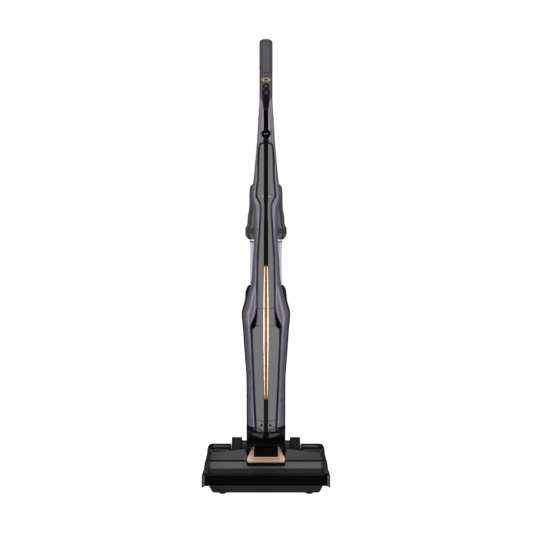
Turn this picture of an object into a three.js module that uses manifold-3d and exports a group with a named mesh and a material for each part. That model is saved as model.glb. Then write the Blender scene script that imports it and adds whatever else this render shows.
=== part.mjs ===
// Cordless wet-and-dry stick vacuum: a floor head with a wet roller, a reclining and swivelling neck,
// and a slim upright that carries two water tanks, the battery, the suction motor and the handle.
//
// Millimetres, +Z up, the front faces -Y. The origin is on the floor, under the middle of the machine.

import * as THREE from 'three';
import { mergeVertices } from 'three/addons/utils/BufferGeometryUtils.js';
import Module from 'manifold-3d';

const wasm = await Module();
wasm.setup();

// ---------------------------------------------------------------- driving dimensions

const GAP = 0.3; // clearance between neighbouring pieces
const TOTAL_HEIGHT = 1100;
const FRONT_Y = -128; // face of the front bumper
const REACH = 400; // larger than any piece, for cutting tools

// Wheels and the recline pivot share one axle.
const AXLE_Y = 80;
const AXLE_Z = 48;
const WHEEL_RADIUS = 48;
const WHEEL_INNER_X = 61;
const WHEEL_WIDTH = 25;
const TYRE_THICKNESS = 9;
const AXLE_RADIUS = 4;
const ARM_INNER_X = 47.5;
const ARM_OUTER_X = 59.5;
const ARM_RADIUS = 40;

// Floor head.
const HEAD_HALF_WIDTH = 149;
const CAP_HALF_WIDTH = 152.5;
const HEAD_REAR_Y = 60;
const CHASSIS_FRONT_Y = -120;
const CHASSIS_FLOOR_Z = 8;
const BUMPER_TOP_Z = 48;
const CHASSIS_TOP_Z = 44;
const WALL_INNER_X = 138.5;
const COVER_REAR_Y = -49.7;
const HUMP_HALF_WIDTH = 46.5;
const HUMP_FRONT_Y = -62;
const HUMP_FRONT_Z = 60.5;
const HUMP_REAR_Y = -8;
const NOTCH_HALF_WIDTH = 88;

// Wet roller.
const ROLLER_Y = -88;
const ROLLER_Z = 25.5;
const ROLLER_RADIUS = 24.2;
const ROLLER_CORE_RADIUS = 18;
const ROLLER_HALF_LENGTH = 132;
const CHAMBER_RADIUS = 25.8;

// Neck and its swivel, whose axis leans forward from the vertical.
const NECK_HALF_WIDTH = 46;
const HUB_RADIUS = 36;
const SWIVEL_Z = 140;
const SWIVEL_TILT = THREE.MathUtils.degToRad(14);
const SWIVEL_GAP = 1.2;
const SWIVEL_RING_RADIUS = 15.5;
const RING_TOP = 4; // how far the swivel ring stands above the swivel plane

// Upright: sections are centred on this line.
const UPRIGHT_Y = 35;
const SHELL = 3; // thickness of the coloured side shells
const PANEL = 4; // thickness of the glossy front panel
const SEAM_Z = 434; // joint between the front panel and the dirty-water tank
const SHOULDER_Z = 487; // top of the lower housing
const HANDLE_Z = 950; // where the handle tube begins
const HANDLE_RADIUS = 16.2;
const BAY_BACK_Y = 18; // back wall of the dirty-tank bay
const HOUSING_WALL = 4;
const CORE_WALL = 2.5;
const PIPE_Y = 39; // the suction pipe rises from the neck here
const MOTOR_Y = 60;
const CLEAN_TANK_TOP = 600;
const BATTERY_TOP = 743;

// Upright front body: height, half width, depth in front of the centre line, depth behind it.
const SPINE = [
  [100, 46.2, 54, 17],
  [150, 46.2, 57, 17],
  [239, 46.4, 63, 17],
  [300, 49.8, 65, 17],
  [337, 52, 65.5, 17],
  [375, 54.5, 65, 17],
  [415, 57.3, 63.5, 17],
  [440, 50.5, 62, 17],
  [465, 45, 60, 17],
  [487, 38.6, 58, 17],
  [552, 33, 53, 17],
  [600, 29.8, 49, 17],
  [650, 29.5, 46, 17],
  [676, 29.8, 44, 17],
  [690, 33, 42.8, 17],
  [703, 36.3, 41.7, 17],
  [717, 36.3, 40.4, 17],
  [730, 34.2, 39.2, 17],
  [743, 32.1, 38, 17],
  [800, 26.5, 32, 17],
  [847, 22.4, 27, 17],
  [899, 19.4, 21, 17],
  [950, HANDLE_RADIUS, HANDLE_RADIUS, HANDLE_RADIUS],
];

// Lower rear housing: the same columns.
const HOUSING = [
  [100, 48.6, 40, 43],
  [150, 49, 40, 45],
  [239, 49.2, 40, 56],
  [337, 55.3, 40, 66],
  [375, 57.8, 40, 71],
  [415, 61, 40, 75],
  [450, 53.2, 40, 77],
  [478, 49.5, 40, 77],
  [487, 44.6, 40, 76],
];

// Rear battery housing and clean-water tank, centred further back.
const REAR_CENTRE_Y = 82;
const BATTERY_CASE = [
  [601, 43, 29, 29],
  [613, 51.7, 29, 31],
  [633, 51.7, 29, 31],
  [639, 46, 29, 30.5],
  [676, 43, 29, 30],
  [730, 39.7, 29, 29],
  [743, 34, 29, 24],
];
const CLEAN_TANK = [
  [488, 38, 29, 28],
  [494, 40, 29, 30],
  [588, 40, 29, 30],
  [600, 41.5, 29, 29],
];

// Half widths along the front: height, half width.
const PANEL_WIDTH = [[434, 22], [552, 20], [601, 17], [660, 14], [685, 12.5], [708, 23], [750, 19.5], [800, 18.2], [836, 14.5], [842, 9]];
const TANK_WIDTH = [[100, 23.5], [138, 25], [200, 28], [300, 32], [380, 35], [387, 32], [396, 22], [434, 22]];
const BAY_WIDTH = [[100, 23.5], [138, 25], [200, 28], [300, 32], [380, 35], [392, 37], [404, 36], [428, 23.5], [434, 22]];
const STRIP_WIDTH = [[209, 1.5], [225, 4], [300, 6], [360, 6.9], [434, 6.9], [538, 5.1]];

const colours = {
  mauve: { color: 0x6b6272, roughness: 0.35, metalness: 0.6 },
  blackGloss: { color: 0x0c0c0d, roughness: 0.12, metalness: 0 },
  black: { color: 0x151516, roughness: 0.5, metalness: 0 },
  smoke: { color: 0x35353a, roughness: 0.15, metalness: 0 },
  clear: { color: 0xdde3e6, roughness: 0.05, metalness: 0 },
  gold: { color: 0xd2a06c, roughness: 0.2, metalness: 1 },
  rubber: { color: 0x1c1c1d, roughness: 0.85, metalness: 0 },
  steel: { color: 0xb4b6b8, roughness: 0.3, metalness: 1 },
  fibre: { color: 0x4a4a4e, roughness: 0.95, metalness: 0 },
  white: { color: 0xe8e8e4, roughness: 0.4, metalness: 0 },
  board: { color: 0x1f5a35, roughness: 0.6, metalness: 0 },
};

// ---------------------------------------------------------------- solids and booleans

function toSolid(geometry) {
  const plain = geometry.clone();
  plain.deleteAttribute('normal');
  plain.deleteAttribute('uv');
  const merged = mergeVertices(plain, 1e-4);
  return new wasm.Manifold(new wasm.Mesh({
    numProp: 3,
    vertProperties: Float32Array.from(merged.attributes.position.array),
    triVerts: Uint32Array.from(merged.index.array),
  }));
}

function toGeometry(solid) {
  const mesh = solid.getMesh();
  const geometry = new THREE.BufferGeometry();
  geometry.setAttribute('position', new THREE.BufferAttribute(mesh.vertProperties, 3));
  geometry.setIndex(new THREE.BufferAttribute(mesh.triVerts, 1));
  return geometry;
}

function combine(operation, first, others) {
  return toGeometry(others.reduce((solid, other) => solid[operation](toSolid(other)), toSolid(first)));
}

const cut = (first, ...tools) => combine('subtract', first, tools);
const join = (first, ...others) => combine('add', first, others);
const common = (first, ...others) => combine('intersect', first, others);

// ---------------------------------------------------------------- basic shapes

function box(x0, x1, y0, y1, z0, z1) {
  const geometry = new THREE.BoxGeometry(x1 - x0, y1 - y0, z1 - z0);
  return geometry.translate((x0 + x1) / 2, (y0 + y1) / 2, (z0 + z1) / 2);
}

// A round bar along X, Y or Z. Its flats, not its corners, lie at the radius.
function bar(axis, radius, from, to, centre, segments = 24) {
  const geometry = new THREE.CylinderGeometry(1, 1, to - from, segments);
  const cornerRadius = radius / Math.cos(Math.PI / segments);
  geometry.rotateY(Math.PI / segments);
  geometry.scale(cornerRadius, 1, cornerRadius);
  geometry.translate(0, (from + to) / 2, 0);
  if (axis === 'x') geometry.rotateZ(-Math.PI / 2);
  if (axis === 'z') geometry.rotateX(Math.PI / 2);
  return geometry.translate(...centre);
}

function extrude(outline, depth) {
  const shape = new THREE.Shape(outline.map(([a, b]) => new THREE.Vector2(a, b)));
  return new THREE.ExtrudeGeometry(shape, { depth, bevelEnabled: false });
}

// An outline in the side view (y, z), carried from x0 to x1.
function sideProfile(outline, x0, x1) {
  const turn = new THREE.Matrix4().makeBasis(
    new THREE.Vector3(0, 1, 0), new THREE.Vector3(0, 0, 1), new THREE.Vector3(1, 0, 0));
  return extrude(outline, x1 - x0).applyMatrix4(turn).translate(x0, 0, 0);
}

// An outline in the front view (x, z), carried from y0 to y1.
function frontProfile(outline, y0, y1) {
  const turn = new THREE.Matrix4().makeBasis(
    new THREE.Vector3(1, 0, 0), new THREE.Vector3(0, 0, 1), new THREE.Vector3(0, -1, 0));
  return extrude(outline, y1 - y0).applyMatrix4(turn).translate(0, y1, 0);
}

// A closed skin through rings of equally many points, from the lowest ring to the highest.
function loft(rings) {
  const count = rings[0].length;
  const points = rings.flat();
  const middle = (ring) => ring
    .reduce((sum, point) => sum.map((value, i) => value + point[i] / count), [0, 0, 0]);
  const bottom = points.length;
  const top = bottom + 1;
  points.push(middle(rings[0]), middle(rings.at(-1)));
  const faces = [];
  for (let i = 0; i < rings.length - 1; i++) {
    for (let j = 0; j < count; j++) {
      const a = i * count + j;
      const b = i * count + (j + 1) % count;
      faces.push(a, b, b + count, a, b + count, a + count);
    }
  }
  for (let j = 0; j < count; j++) {
    const next = (j + 1) % count;
    const last = (rings.length - 1) * count;
    faces.push(bottom, next, j, top, last + j, last + next);
  }
  const geometry = new THREE.BufferGeometry();
  geometry.setAttribute('position', new THREE.Float32BufferAttribute(points.flat(), 3));
  geometry.setIndex(faces);
  return geometry;
}

// Reads a table of [height, values...] at one height, in straight steps.
function at(table, z) {
  const last = table.length - 1;
  if (z <= table[0][0]) return table[0].slice(1);
  if (z >= table[last][0]) return table[last].slice(1);
  const i = table.findIndex((row) => row[0] >= z);
  const share = (z - table[i - 1][0]) / (table[i][0] - table[i - 1][0]);
  return table[i].slice(1).map((value, k) => table[i - 1][k + 1] + share * (value - table[i - 1][k + 1]));
}

// The heights of a table between two limits, with the limits themselves.
function heights(table, z0, z1) {
  return [z0, ...table.map((row) => row[0]).filter((z) => z > z0 + 1 && z < z1 - 1), z1];
}

// A body whose sections are rounded rectangles (superellipses), inset by a thickness.
function body(table, z0, z1, { inset = 0, centreY = UPRIGHT_Y, power = 2.5, segments = 24 } = {}) {
  const corner = (value) => Math.sign(value) * Math.abs(value) ** (2 / power);
  return loft(heights(table, z0, z1).map((z) => {
    const [half, front, back] = at(table, z).map((value) => value - inset);
    return Array.from({ length: segments }, (_, i) => {
      const angle = 2 * Math.PI * i / segments;
      const y = corner(Math.sin(angle));
      return [half * corner(Math.cos(angle)), centreY + y * (y < 0 ? front : back), z];
    });
  }));
}

// A block whose half width follows a table, between two depths.
function channel(table, z0, z1, y0, y1, grow = 0) {
  return loft(heights(table, z0, z1).map((z) => {
    const half = at(table, z)[0] + grow;
    return [[half, y0, z], [half, y1, z], [-half, y1, z], [-half, y0, z]];
  }));
}

// A layer of the upright's front surface, as wide as a table says.
function skin(table, z0, z1, outset, thickness, grow = 0) {
  const outer = body(SPINE, z0 - 5, z1 + 5, { inset: -outset });
  const inner = body(SPINE, z0 - 6, z1 + 6, { inset: thickness });
  return cut(common(outer, channel(table, z0, z1, -REACH, UPRIGHT_Y, grow)), inner);
}

// The half space above (1) or below (-1) a plane at a distance above the swivel joint's tilted plane.
function swivelSide(direction, distance) {
  const block = box(-REACH, REACH, -REACH, REACH, 0, 2 * REACH);
  if (direction < 0) block.translate(0, 0, -2 * REACH);
  block.translate(0, 0, distance);
  return block.rotateX(SWIVEL_TILT).translate(0, UPRIGHT_Y, SWIVEL_Z);
}

// A round bar along the swivel axis, measured from the swivel plane.
function swivelBar(radius, from, to) {
  return bar('z', radius, from, to, [0, 0, 0]).rotateX(SWIVEL_TILT).translate(0, UPRIGHT_Y, SWIVEL_Z);
}

// A ring of a tube's outer radius and bore.
function tube(axis, radius, bore, from, to, centre, segments = 24) {
  return cut(bar(axis, radius, from, to, centre, segments), bar(axis, bore, from - 5, to + 5, centre, segments));
}

const scene = new THREE.Group();

function add(name, geometry, colour, group = scene) {
  const mesh = new THREE.Mesh(geometry, new THREE.MeshStandardMaterial(colours[colour]));
  mesh.name = name;
  group.add(mesh);
  return mesh;
}

// ---------------------------------------------------------------- floor head

// The side walls' outline: low at the front, rising over the roller to the deck.
const WALL_OUTLINE = [
  [CHASSIS_FRONT_Y, 21], [-80, CHASSIS_FLOOR_Z], [HEAD_REAR_Y, CHASSIS_FLOOR_Z], [HEAD_REAR_Y, CHASSIS_TOP_Z],
  [COVER_REAR_Y, CHASSIS_TOP_Z], [COVER_REAR_Y, 62.5], [-95, 53], [CHASSIS_FRONT_Y, 45],
];
const ROLLER_CENTRE = [0, ROLLER_Y, ROLLER_Z];
const AXLE_CENTRE = [0, AXLE_Y, AXLE_Z];
const NOTCH_FRONT_Y = 29.5; // the chassis stops here, in front of the wheels and their arms
const HUMP_TOP_Z = 90;

// The front outline of the head: square at the floor, with rounded top corners.
function headFrontOutline(halfWidth, z0, z1, radius) {
  const corner = (side, from) => [0, 1, 2, 3].map((i) => {
    const angle = from + i * Math.PI / 6;
    return [side * (halfWidth - radius) + radius * Math.cos(angle), z1 - radius + radius * Math.sin(angle)];
  });
  return [[halfWidth, z0], ...corner(1, 0), ...corner(-1, Math.PI / 2), [-halfWidth, z0]];
}

function makeChassis() {
  const mouth = box(-28, 28, -60, -40, 14, 34);
  return cut(
    sideProfile(WALL_OUTLINE, -HEAD_HALF_WIDTH, HEAD_HALF_WIDTH),
    bar('x', CHAMBER_RADIUS, -WALL_INNER_X, WALL_INNER_X, ROLLER_CENTRE, 32),
    box(-WALL_INNER_X, WALL_INNER_X, ROLLER_Y - CHAMBER_RADIUS, ROLLER_Y + CHAMBER_RADIUS - 2, 0, ROLLER_Z),
    box(-WALL_INNER_X, WALL_INNER_X, -REACH, COVER_REAR_Y + GAP, ROLLER_Z, REACH),
    bar('x', 5.3, -REACH, REACH, ROLLER_CENTRE),
    box(-140, 140, -42, 25, 12, REACH),
    box(-NOTCH_HALF_WIDTH, NOTCH_HALF_WIDTH, NOTCH_FRONT_Y, REACH, 0, REACH),
    box(-NECK_HALF_WIDTH - 1.5, NECK_HALF_WIDTH + 1.5, -6, REACH, 22, REACH),
    box(-136, 136, -50.8, -47.2, 0, 16),
    mouth,
  );
}

function makeTopCover() {
  const deck = sideProfile([
    [HEAD_REAR_Y, CHASSIS_TOP_Z + GAP], [HEAD_REAR_Y, 76], [54, 86], [40, 86], [36, 81.5], [COVER_REAR_Y + GAP, 62.5],
    [COVER_REAR_Y + GAP, CHASSIS_TOP_Z + GAP],
  ], -HEAD_HALF_WIDTH, HEAD_HALF_WIDTH);
  const rounded = common(deck, frontProfile(headFrontOutline(HEAD_HALF_WIDTH, 30, 87, 12), -REACH, REACH));
  const hump = common(
    sideProfile([
      [HUMP_FRONT_Y, 45], [HUMP_FRONT_Y, HUMP_FRONT_Z], [HUMP_REAR_Y - 4, HUMP_TOP_Z], [HUMP_REAR_Y, HUMP_TOP_Z],
      [HUMP_REAR_Y, 55], [-44, 55], [-44, 45],
    ], -HUMP_HALF_WIDTH, HUMP_HALF_WIDTH),
    frontProfile([[-46.5, 40], [46.5, 40], [46.5, 69], [33, HUMP_TOP_Z + 1], [-33, HUMP_TOP_Z + 1], [-46.5, 69]],
      -REACH, REACH),
  );
  return cut(
    join(rounded, hump),
    sideProfile([[-44, 30], [25, 30], [25, 75], [-44, 59]], -142, 142),
    box(-NOTCH_HALF_WIDTH, NOTCH_HALF_WIDTH, NOTCH_FRONT_Y, REACH, 0, REACH),
    box(-NECK_HALF_WIDTH - 1.5, NECK_HALF_WIDTH + 1.5, -6.5, REACH, 0, REACH),
    onHumpSlope(trimOutline(GAP), 12, 12 - TRIM_DEPTH - GAP),
  );
}

// The sloping face of the hump carries a U-shaped metal trim.
const TRIM_DEPTH = 1.5; // how far the trim is let into the hump
const TRIM_SLOPE = Math.atan2(HUMP_TOP_Z - HUMP_FRONT_Z, HUMP_REAR_Y - 4 - HUMP_FRONT_Y);

function onHumpSlope(outline, depth, proud) {
  const plate = extrude(outline, depth).translate(0, 0, proud - depth);
  return plate.rotateX(TRIM_SLOPE).translate(0, HUMP_FRONT_Y, HUMP_FRONT_Z);
}

// The U's outline, with both of its edges moved outward by a gap.
function trimOutline(gap) {
  const outer = [[46 + gap, 6], [46 + gap, 14], [33 + gap, 55 + gap]];
  const inner = [[29.8 - gap, 55 + gap], [29.8 - gap, 21 + gap], [27, 18.5 + gap]];
  const right = [[41, 1 - gap], ...outer, ...inner];
  return [...right, ...right.toReversed().map(([x, z]) => [-x, z])];
}

function makeRollerCover() {
  const outline = [
    [-119.7, 31], [COVER_REAR_Y - GAP, CHASSIS_TOP_Z + GAP], [COVER_REAR_Y - GAP, 62.5], [-95, 53], [-119.7, 45],
  ];
  const half = WALL_INNER_X - GAP;
  return cut(
    sideProfile(outline, -half, half),
    bar('x', CHAMBER_RADIUS + 0.5, -REACH, REACH, ROLLER_CENTRE, 32),
    box(-HUMP_HALF_WIDTH - 0.6, HUMP_HALF_WIDTH + 0.6, HUMP_FRONT_Y - 0.6, REACH, 0, REACH),
  );
}

function makeWheelArm(side) {
  const inner = Math.min(side * ARM_INNER_X, side * ARM_OUTER_X);
  const outer = Math.max(side * ARM_INNER_X, side * ARM_OUTER_X);
  return cut(
    join(
      bar('x', ARM_RADIUS, inner, outer, AXLE_CENTRE, 32),
      box(inner, outer, NOTCH_FRONT_Y + GAP, AXLE_Y, CHASSIS_FLOOR_Z, 70),
    ),
    bar('x', AXLE_RADIUS + GAP, -REACH, REACH, AXLE_CENTRE, 16),
  );
}

add('head_chassis', makeChassis(), 'black');
add('head_top_cover', makeTopCover(), 'blackGloss');
add('neck_trim', onHumpSlope(trimOutline(0), TRIM_DEPTH + 1.3, 1.3), 'gold');
add('roller_cover', makeRollerCover(), 'blackGloss');
add('front_bumper', join(
  box(-HEAD_HALF_WIDTH, HEAD_HALF_WIDTH, FRONT_Y, CHASSIS_FRONT_Y - GAP, 20, BUMPER_TOP_Z),
  frontProfile([[-124, 6], [124, 6], [136, 21], [-136, 21]], FRONT_Y + 1.5, CHASSIS_FRONT_Y - GAP),
), 'blackGloss');
add('squeegee', box(-135, 135, -50.3, -47.7, 1.5, 15.5), 'rubber');
add('suction_duct', cut(box(-31, 31, -41.5, -8, 13, 37), box(-28, 28, -50, 0, 16, 34)), 'black');
add('roller_motor', bar('x', 12, -138, -30, ROLLER_CENTRE), 'steel');
add('rear_axle', bar('x', AXLE_RADIUS, -WHEEL_INNER_X - 20, WHEEL_INNER_X + 20, AXLE_CENTRE, 16), 'steel');

for (const [side, label] of [[-1, 'left'], [1, 'right']]) {
  const capX = [side * (HEAD_HALF_WIDTH + GAP), side * CAP_HALF_WIDTH].sort((a, b) => a - b);
  add(`side_cap_${label}`, box(...capX, FRONT_Y, -62, 15, 44), 'rubber');
  add(`wheel_arm_${label}`, makeWheelArm(side), 'black');
  const foot = frontProfile([[-6, 0], [6, 0], [9, 5.7], [-9, 5.7]], FRONT_Y + 1.5, CHASSIS_FRONT_Y - GAP);
  add(`glide_foot_${label}`, foot, 'rubber').position.x = side * 103;

  const wheel = new THREE.Group();
  wheel.position.set(side * (WHEEL_INNER_X + WHEEL_WIDTH / 2), AXLE_Y, AXLE_Z);
  scene.add(wheel);
  const half = WHEEL_WIDTH / 2;
  const rim = WHEEL_RADIUS - TYRE_THICKNESS;
  add(`tyre_${label}`, tube('x', WHEEL_RADIUS, rim, -half, half, [0, 0, 0], 40), 'rubber', wheel);
  const blind = bar('x', AXLE_RADIUS + GAP, -side * REACH, side * (half - 4), [0, 0, 0], 16);
  const inward = side > 0 ? blind : bar('x', AXLE_RADIUS + GAP, -half + 4, REACH, [0, 0, 0], 16);
  const disc = bar('x', rim - GAP, -half + 2, half - 2, [0, 0, 0], 40);
  add(`wheel_hub_${label}`, cut(disc, inward), 'black', wheel);
}

const roller = new THREE.Group();
roller.position.set(...ROLLER_CENTRE);
scene.add(roller);
const CENTRE = [0, 0, 0];
add('roller_core', cut(
  join(
    bar('x', ROLLER_CORE_RADIUS, -ROLLER_HALF_LENGTH, ROLLER_HALF_LENGTH, CENTRE),
    bar('x', 5, 0, ROLLER_HALF_LENGTH + 10, CENTRE, 16),
  ),
  bar('x', 13, -REACH, -25, CENTRE),
), 'black', roller);
add('roller_sleeve', tube('x', ROLLER_RADIUS, ROLLER_CORE_RADIUS + GAP, -ROLLER_HALF_LENGTH + 1, ROLLER_HALF_LENGTH - 1,
  CENTRE, 32), 'fibre', roller);

// ---------------------------------------------------------------- neck

// Side view of the neck: a hub round the axle, leaning up and forward to the swivel plane.
const NECK_OUTLINE = [
  [80, 12], [115, 55], [84, 110], [84, 190], [-23, 190], [-23, 127], [-3.5, 92], [-3.5, 60], [45, 26],
];
const HOSE_PATH = new THREE.CatmullRomCurve3([
  new THREE.Vector3(0, 16, 50), new THREE.Vector3(0, 24, 70), new THREE.Vector3(0, 34, 94),
  new THREE.Vector3(0, 37, 119),
]);

function circlePoints(radius, count) {
  return Array.from({ length: count }, (_, i) => {
    const angle = 2 * Math.PI * i / count;
    return new THREE.Vector2(radius * Math.cos(angle), radius * Math.sin(angle));
  });
}

// A bar along the hose's path, or a hose if it has a bore.
function hoseSolid(radius, bore = 0) {
  const ring = new THREE.Shape(circlePoints(radius, 16));
  if (bore > 0) ring.holes.push(new THREE.Path(circlePoints(bore, 16)));
  return new THREE.ExtrudeGeometry(ring, { extrudePath: HOSE_PATH, steps: 8, bevelEnabled: false });
}

function makeNeck() {
  const upper = common(
    sideProfile(NECK_OUTLINE, -NECK_HALF_WIDTH, NECK_HALF_WIDTH),
    body([[0, NECK_HALF_WIDTH, 59, 49], [200, NECK_HALF_WIDTH, 59, 49]], 0, 200, { power: 4 }),
  );
  const hub = bar('x', HUB_RADIUS, -NECK_HALF_WIDTH, NECK_HALF_WIDTH, AXLE_CENTRE, 32);
  return cut(
    join(upper, hub),
    swivelSide(1, -SWIVEL_GAP / 2),
    swivelBar(SWIVEL_RING_RADIUS + 1, -16, 5),
    bar('x', AXLE_RADIUS + GAP, -REACH, REACH, AXLE_CENTRE, 16),
    hoseSolid(14),
    box(-15, 15, -10, 22, 30, 56),
    box(-38, 38, 14, 60, 66, 108),
    frontCover(GAP),
  );
}

// The gloss plate let into the front of the neck, with its edges moved out by a gap.
function frontCover(gap) {
  const back = [[-1 + gap, 66 - gap], [-1 + gap, 92], [-15 + gap, 117], [-19.2 + gap, 150]];
  const front = gap > 0 ? [[-60, 150], [-60, 66 - gap]] : [[-23, 150], [-23, 127], [-3.5, 92], [-3.5, 66]];
  return sideProfile([...back, ...front], -30 - gap, 30 + gap);
}

add('neck_shell', makeNeck(), 'black');
add('neck_front_cover', cut(frontCover(0), swivelSide(1, -SWIVEL_GAP / 2)), 'smoke');
add('neck_hose', hoseSolid(13, 10.5), 'rubber');

// ---------------------------------------------------------------- upright: shells, housing and panel

const BUTTON_Z = 863; // round release button on the front of the spine
const PANEL_TOP_Z = 842;
const SHELL_OPEN_Y = 36; // below the shoulder the side shells end here and the housing carries on
const frontOf = (z) => UPRIGHT_Y - at(SPINE, z)[1];

function panelSeat(extra) {
  return skin(PANEL_WIDTH, SEAM_Z - 1, PANEL_TOP_Z + extra, 6, PANEL + extra, extra);
}

function bayBlock(grow) {
  return channel(BAY_WIDTH, 105, SEAM_Z + 0.5, -REACH, BAY_BACK_Y + grow, grow);
}

function makeSideShell(side) {
  const half = side > 0 ? box(0.2, REACH, -REACH, REACH, 0, REACH * 3) : box(-REACH, -0.2, -REACH, REACH, 0, REACH * 3);
  return cut(
    common(body(SPINE, 105, HANDLE_Z), half),
    body(SPINE, 100, HANDLE_Z + 5, { inset: SHELL }),
    channel(PANEL_WIDTH, SEAM_Z - 1, PANEL_TOP_Z + GAP, -REACH, UPRIGHT_Y - 8, GAP),
    bayBlock(GAP),
    box(-5, 5, -REACH, UPRIGHT_Y, PANEL_TOP_Z - 2, REACH * 3),
    bar('y', 9.8, -REACH, UPRIGHT_Y, [0, 0, BUTTON_Z]),
    box(-REACH, REACH, SHELL_OPEN_Y, REACH, 0, SHOULDER_Z),
    swivelSide(-1, SWIVEL_GAP / 2),
  );
}

function makeSpineCore() {
  const inset = SHELL + GAP;
  return cut(
    body(SPINE, SHOULDER_Z + GAP, HANDLE_Z - 6, { inset }),
    body(SPINE, SHOULDER_Z - 10, HANDLE_Z, { inset: inset + CORE_WALL }),
    panelSeat(GAP),
    bar('y', 9.8, -REACH, frontOf(BUTTON_Z) + 9, [0, 0, BUTTON_Z]),
  );
}

function makeLowerHousing() {
  const rear = common(body(HOUSING, 105, SHOULDER_Z), box(-REACH, REACH, SHELL_OPEN_Y + GAP, REACH, 0, REACH * 2));
  const front = common(
    body(SPINE, 105, SHOULDER_Z, { inset: SHELL + GAP }),
    box(-REACH, REACH, BAY_BACK_Y + GAP, SHELL_OPEN_Y + 1, 0, REACH * 2),
  );
  const hollow = (z0, z1) => common(
    body(HOUSING, z0, z1, { inset: HOUSING_WALL }),
    box(-REACH, REACH, BAY_BACK_Y + HOUSING_WALL, REACH, 0, REACH * 2),
  );
  return cut(
    join(rear, front),
    hollow(158, 290),
    hollow(296, SHOULDER_Z + 5),
    bar('z', 14, 100, 160, [0, PIPE_Y, 0]),
    bar('z', 9, 280, 305, [0, MOTOR_Y, 0], 16),
    swivelBar(SWIVEL_RING_RADIUS + GAP, -5, RING_TOP + GAP),
    swivelSide(-1, SWIVEL_GAP / 2),
  );
}

for (const [side, label] of [[-1, 'left'], [1, 'right']]) {
  add(`side_shell_${label}`, makeSideShell(side), 'mauve');
}
add('spine_core', makeSpineCore(), 'black');
add('lower_housing', makeLowerHousing(), 'black');

const INDICATOR_X = 8.4;
const INDICATOR_Z = 708;
const stripSeat = (z0, z1) => skin(STRIP_WIDTH, z0 - GAP, z1 + GAP, 6, 2, GAP);
const indicator = (side, radius, from, to) => bar('y', radius, from, to, [side * INDICATOR_X, 0, INDICATOR_Z], 12);
const panelFront = frontOf(INDICATOR_Z);

add('front_panel', cut(
  skin(PANEL_WIDTH, SEAM_Z + GAP, PANEL_TOP_Z, 0, PANEL),
  stripSeat(SEAM_Z - 5, 538),
  indicator(-1, 1.8, -REACH, panelFront + 2.5),
  indicator(1, 1.8, -REACH, panelFront + 2.5),
), 'blackGloss');
add('light_strip_upper', skin(STRIP_WIDTH, SEAM_Z + GAP, 538, 0.5, 1.7), 'gold');
add('indicator_left', indicator(-1, 1.5, panelFront - 0.2, panelFront + 2.2), 'white');
add('indicator_right', indicator(1, 1.5, panelFront - 0.2, panelFront + 2.2), 'white');
add('control_board', box(-13, 13, 18, 24, 642, 798), 'board');

// ---------------------------------------------------------------- upright: inside the lower housing

function makeImpeller() {
  const disc = bar('z', 26, 436, 439, [0, MOTOR_Y, 0], 32);
  const vanes = Array.from({ length: 7 }, (_, i) => box(7, 24, -1, 1, 438, 449)
    .rotateZ(2 * Math.PI * i / 7).translate(0, MOTOR_Y, 0));
  return cut(join(disc, bar('z', 8, 436, 450, [0, MOTOR_Y, 0]), ...vanes), bar('z', 3.3, 0, REACH * 2, [0, MOTOR_Y, 0], 12));
}

add('swivel_ring', cut(swivelBar(SWIVEL_RING_RADIUS, -14, RING_TOP), swivelBar(12.5, -20, 20)), 'steel');
add('suction_pipe', tube('z', 13, 11, 152, 280, [0, PIPE_Y, 0]), 'black');
add('water_pump', box(-15, 15, 54, 66, 190, 250), 'black');
add('motor_mount', tube('z', 31.8, 20, 302, 312, [0, MOTOR_Y, 0], 32), 'rubber');
add('suction_motor', join(bar('z', 29, 313, 430, [0, MOTOR_Y, 0], 32), bar('z', 3, 429, 452, [0, MOTOR_Y, 0], 12)), 'steel');
add('impeller', makeImpeller(), 'steel');
add('motor_filter', tube('z', 31.8, 8, 460, 477, [0, MOTOR_Y, 0], 32), 'fibre');

// ---------------------------------------------------------------- dirty-water tank

const TANK_LID_Z = 390;
const FILTER_HEIGHT = 28;
const PIPE_TOP_Z = 338;
const TANK_WALL = 3;

function tankBlock(z0, z1, inset) {
  return common(
    body(SPINE, z0 - 20, z1 + 20, { inset }),
    channel(TANK_WIDTH, z0, z1, -REACH, BAY_BACK_Y - inset, -inset),
  );
}

function makeDirtyTank() {
  return cut(
    tankBlock(110, TANK_LID_Z, 0),
    tankBlock(148, TANK_LID_Z - TANK_WALL, TANK_WALL),
    box(-17, 17, -20, 13, TANK_LID_Z - 6, REACH * 2),
    bar('z', 9.5, 0, 200, [0, 4, 0], 16),
    stripSeat(209, SEAM_Z + 5),
    swivelSide(-1, SWIVEL_GAP / 2),
  );
}

add('dirty_tank', makeDirtyTank(), 'smoke');
add('dirty_tank_lid', cut(tankBlock(TANK_LID_Z + GAP, SEAM_Z - GAP, 0), stripSeat(209, SEAM_Z + 5)), 'black');
add('dirty_tank_filter', box(-16, 16, -19, 12, TANK_LID_Z - FILTER_HEIGHT, TANK_LID_Z), 'fibre');
add('intake_pipe', tube('z', 9.2, 7.5, 142, PIPE_TOP_Z, [0, 4, 0], 16), 'smoke');
add('float_valve', bar('z', 7, PIPE_TOP_Z + 4, PIPE_TOP_Z + 14, [0, 4, 0], 16), 'white');
add('light_strip_lower', skin(STRIP_WIDTH, 209, SEAM_Z - GAP, 0.5, 1.7), 'gold');

// ---------------------------------------------------------------- clean-water tank and battery

const rear = { centreY: REAR_CENTRE_Y, power: 4 };
const TANK_FLOOR_Z = 488;
const FILL_Y = 70;

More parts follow.
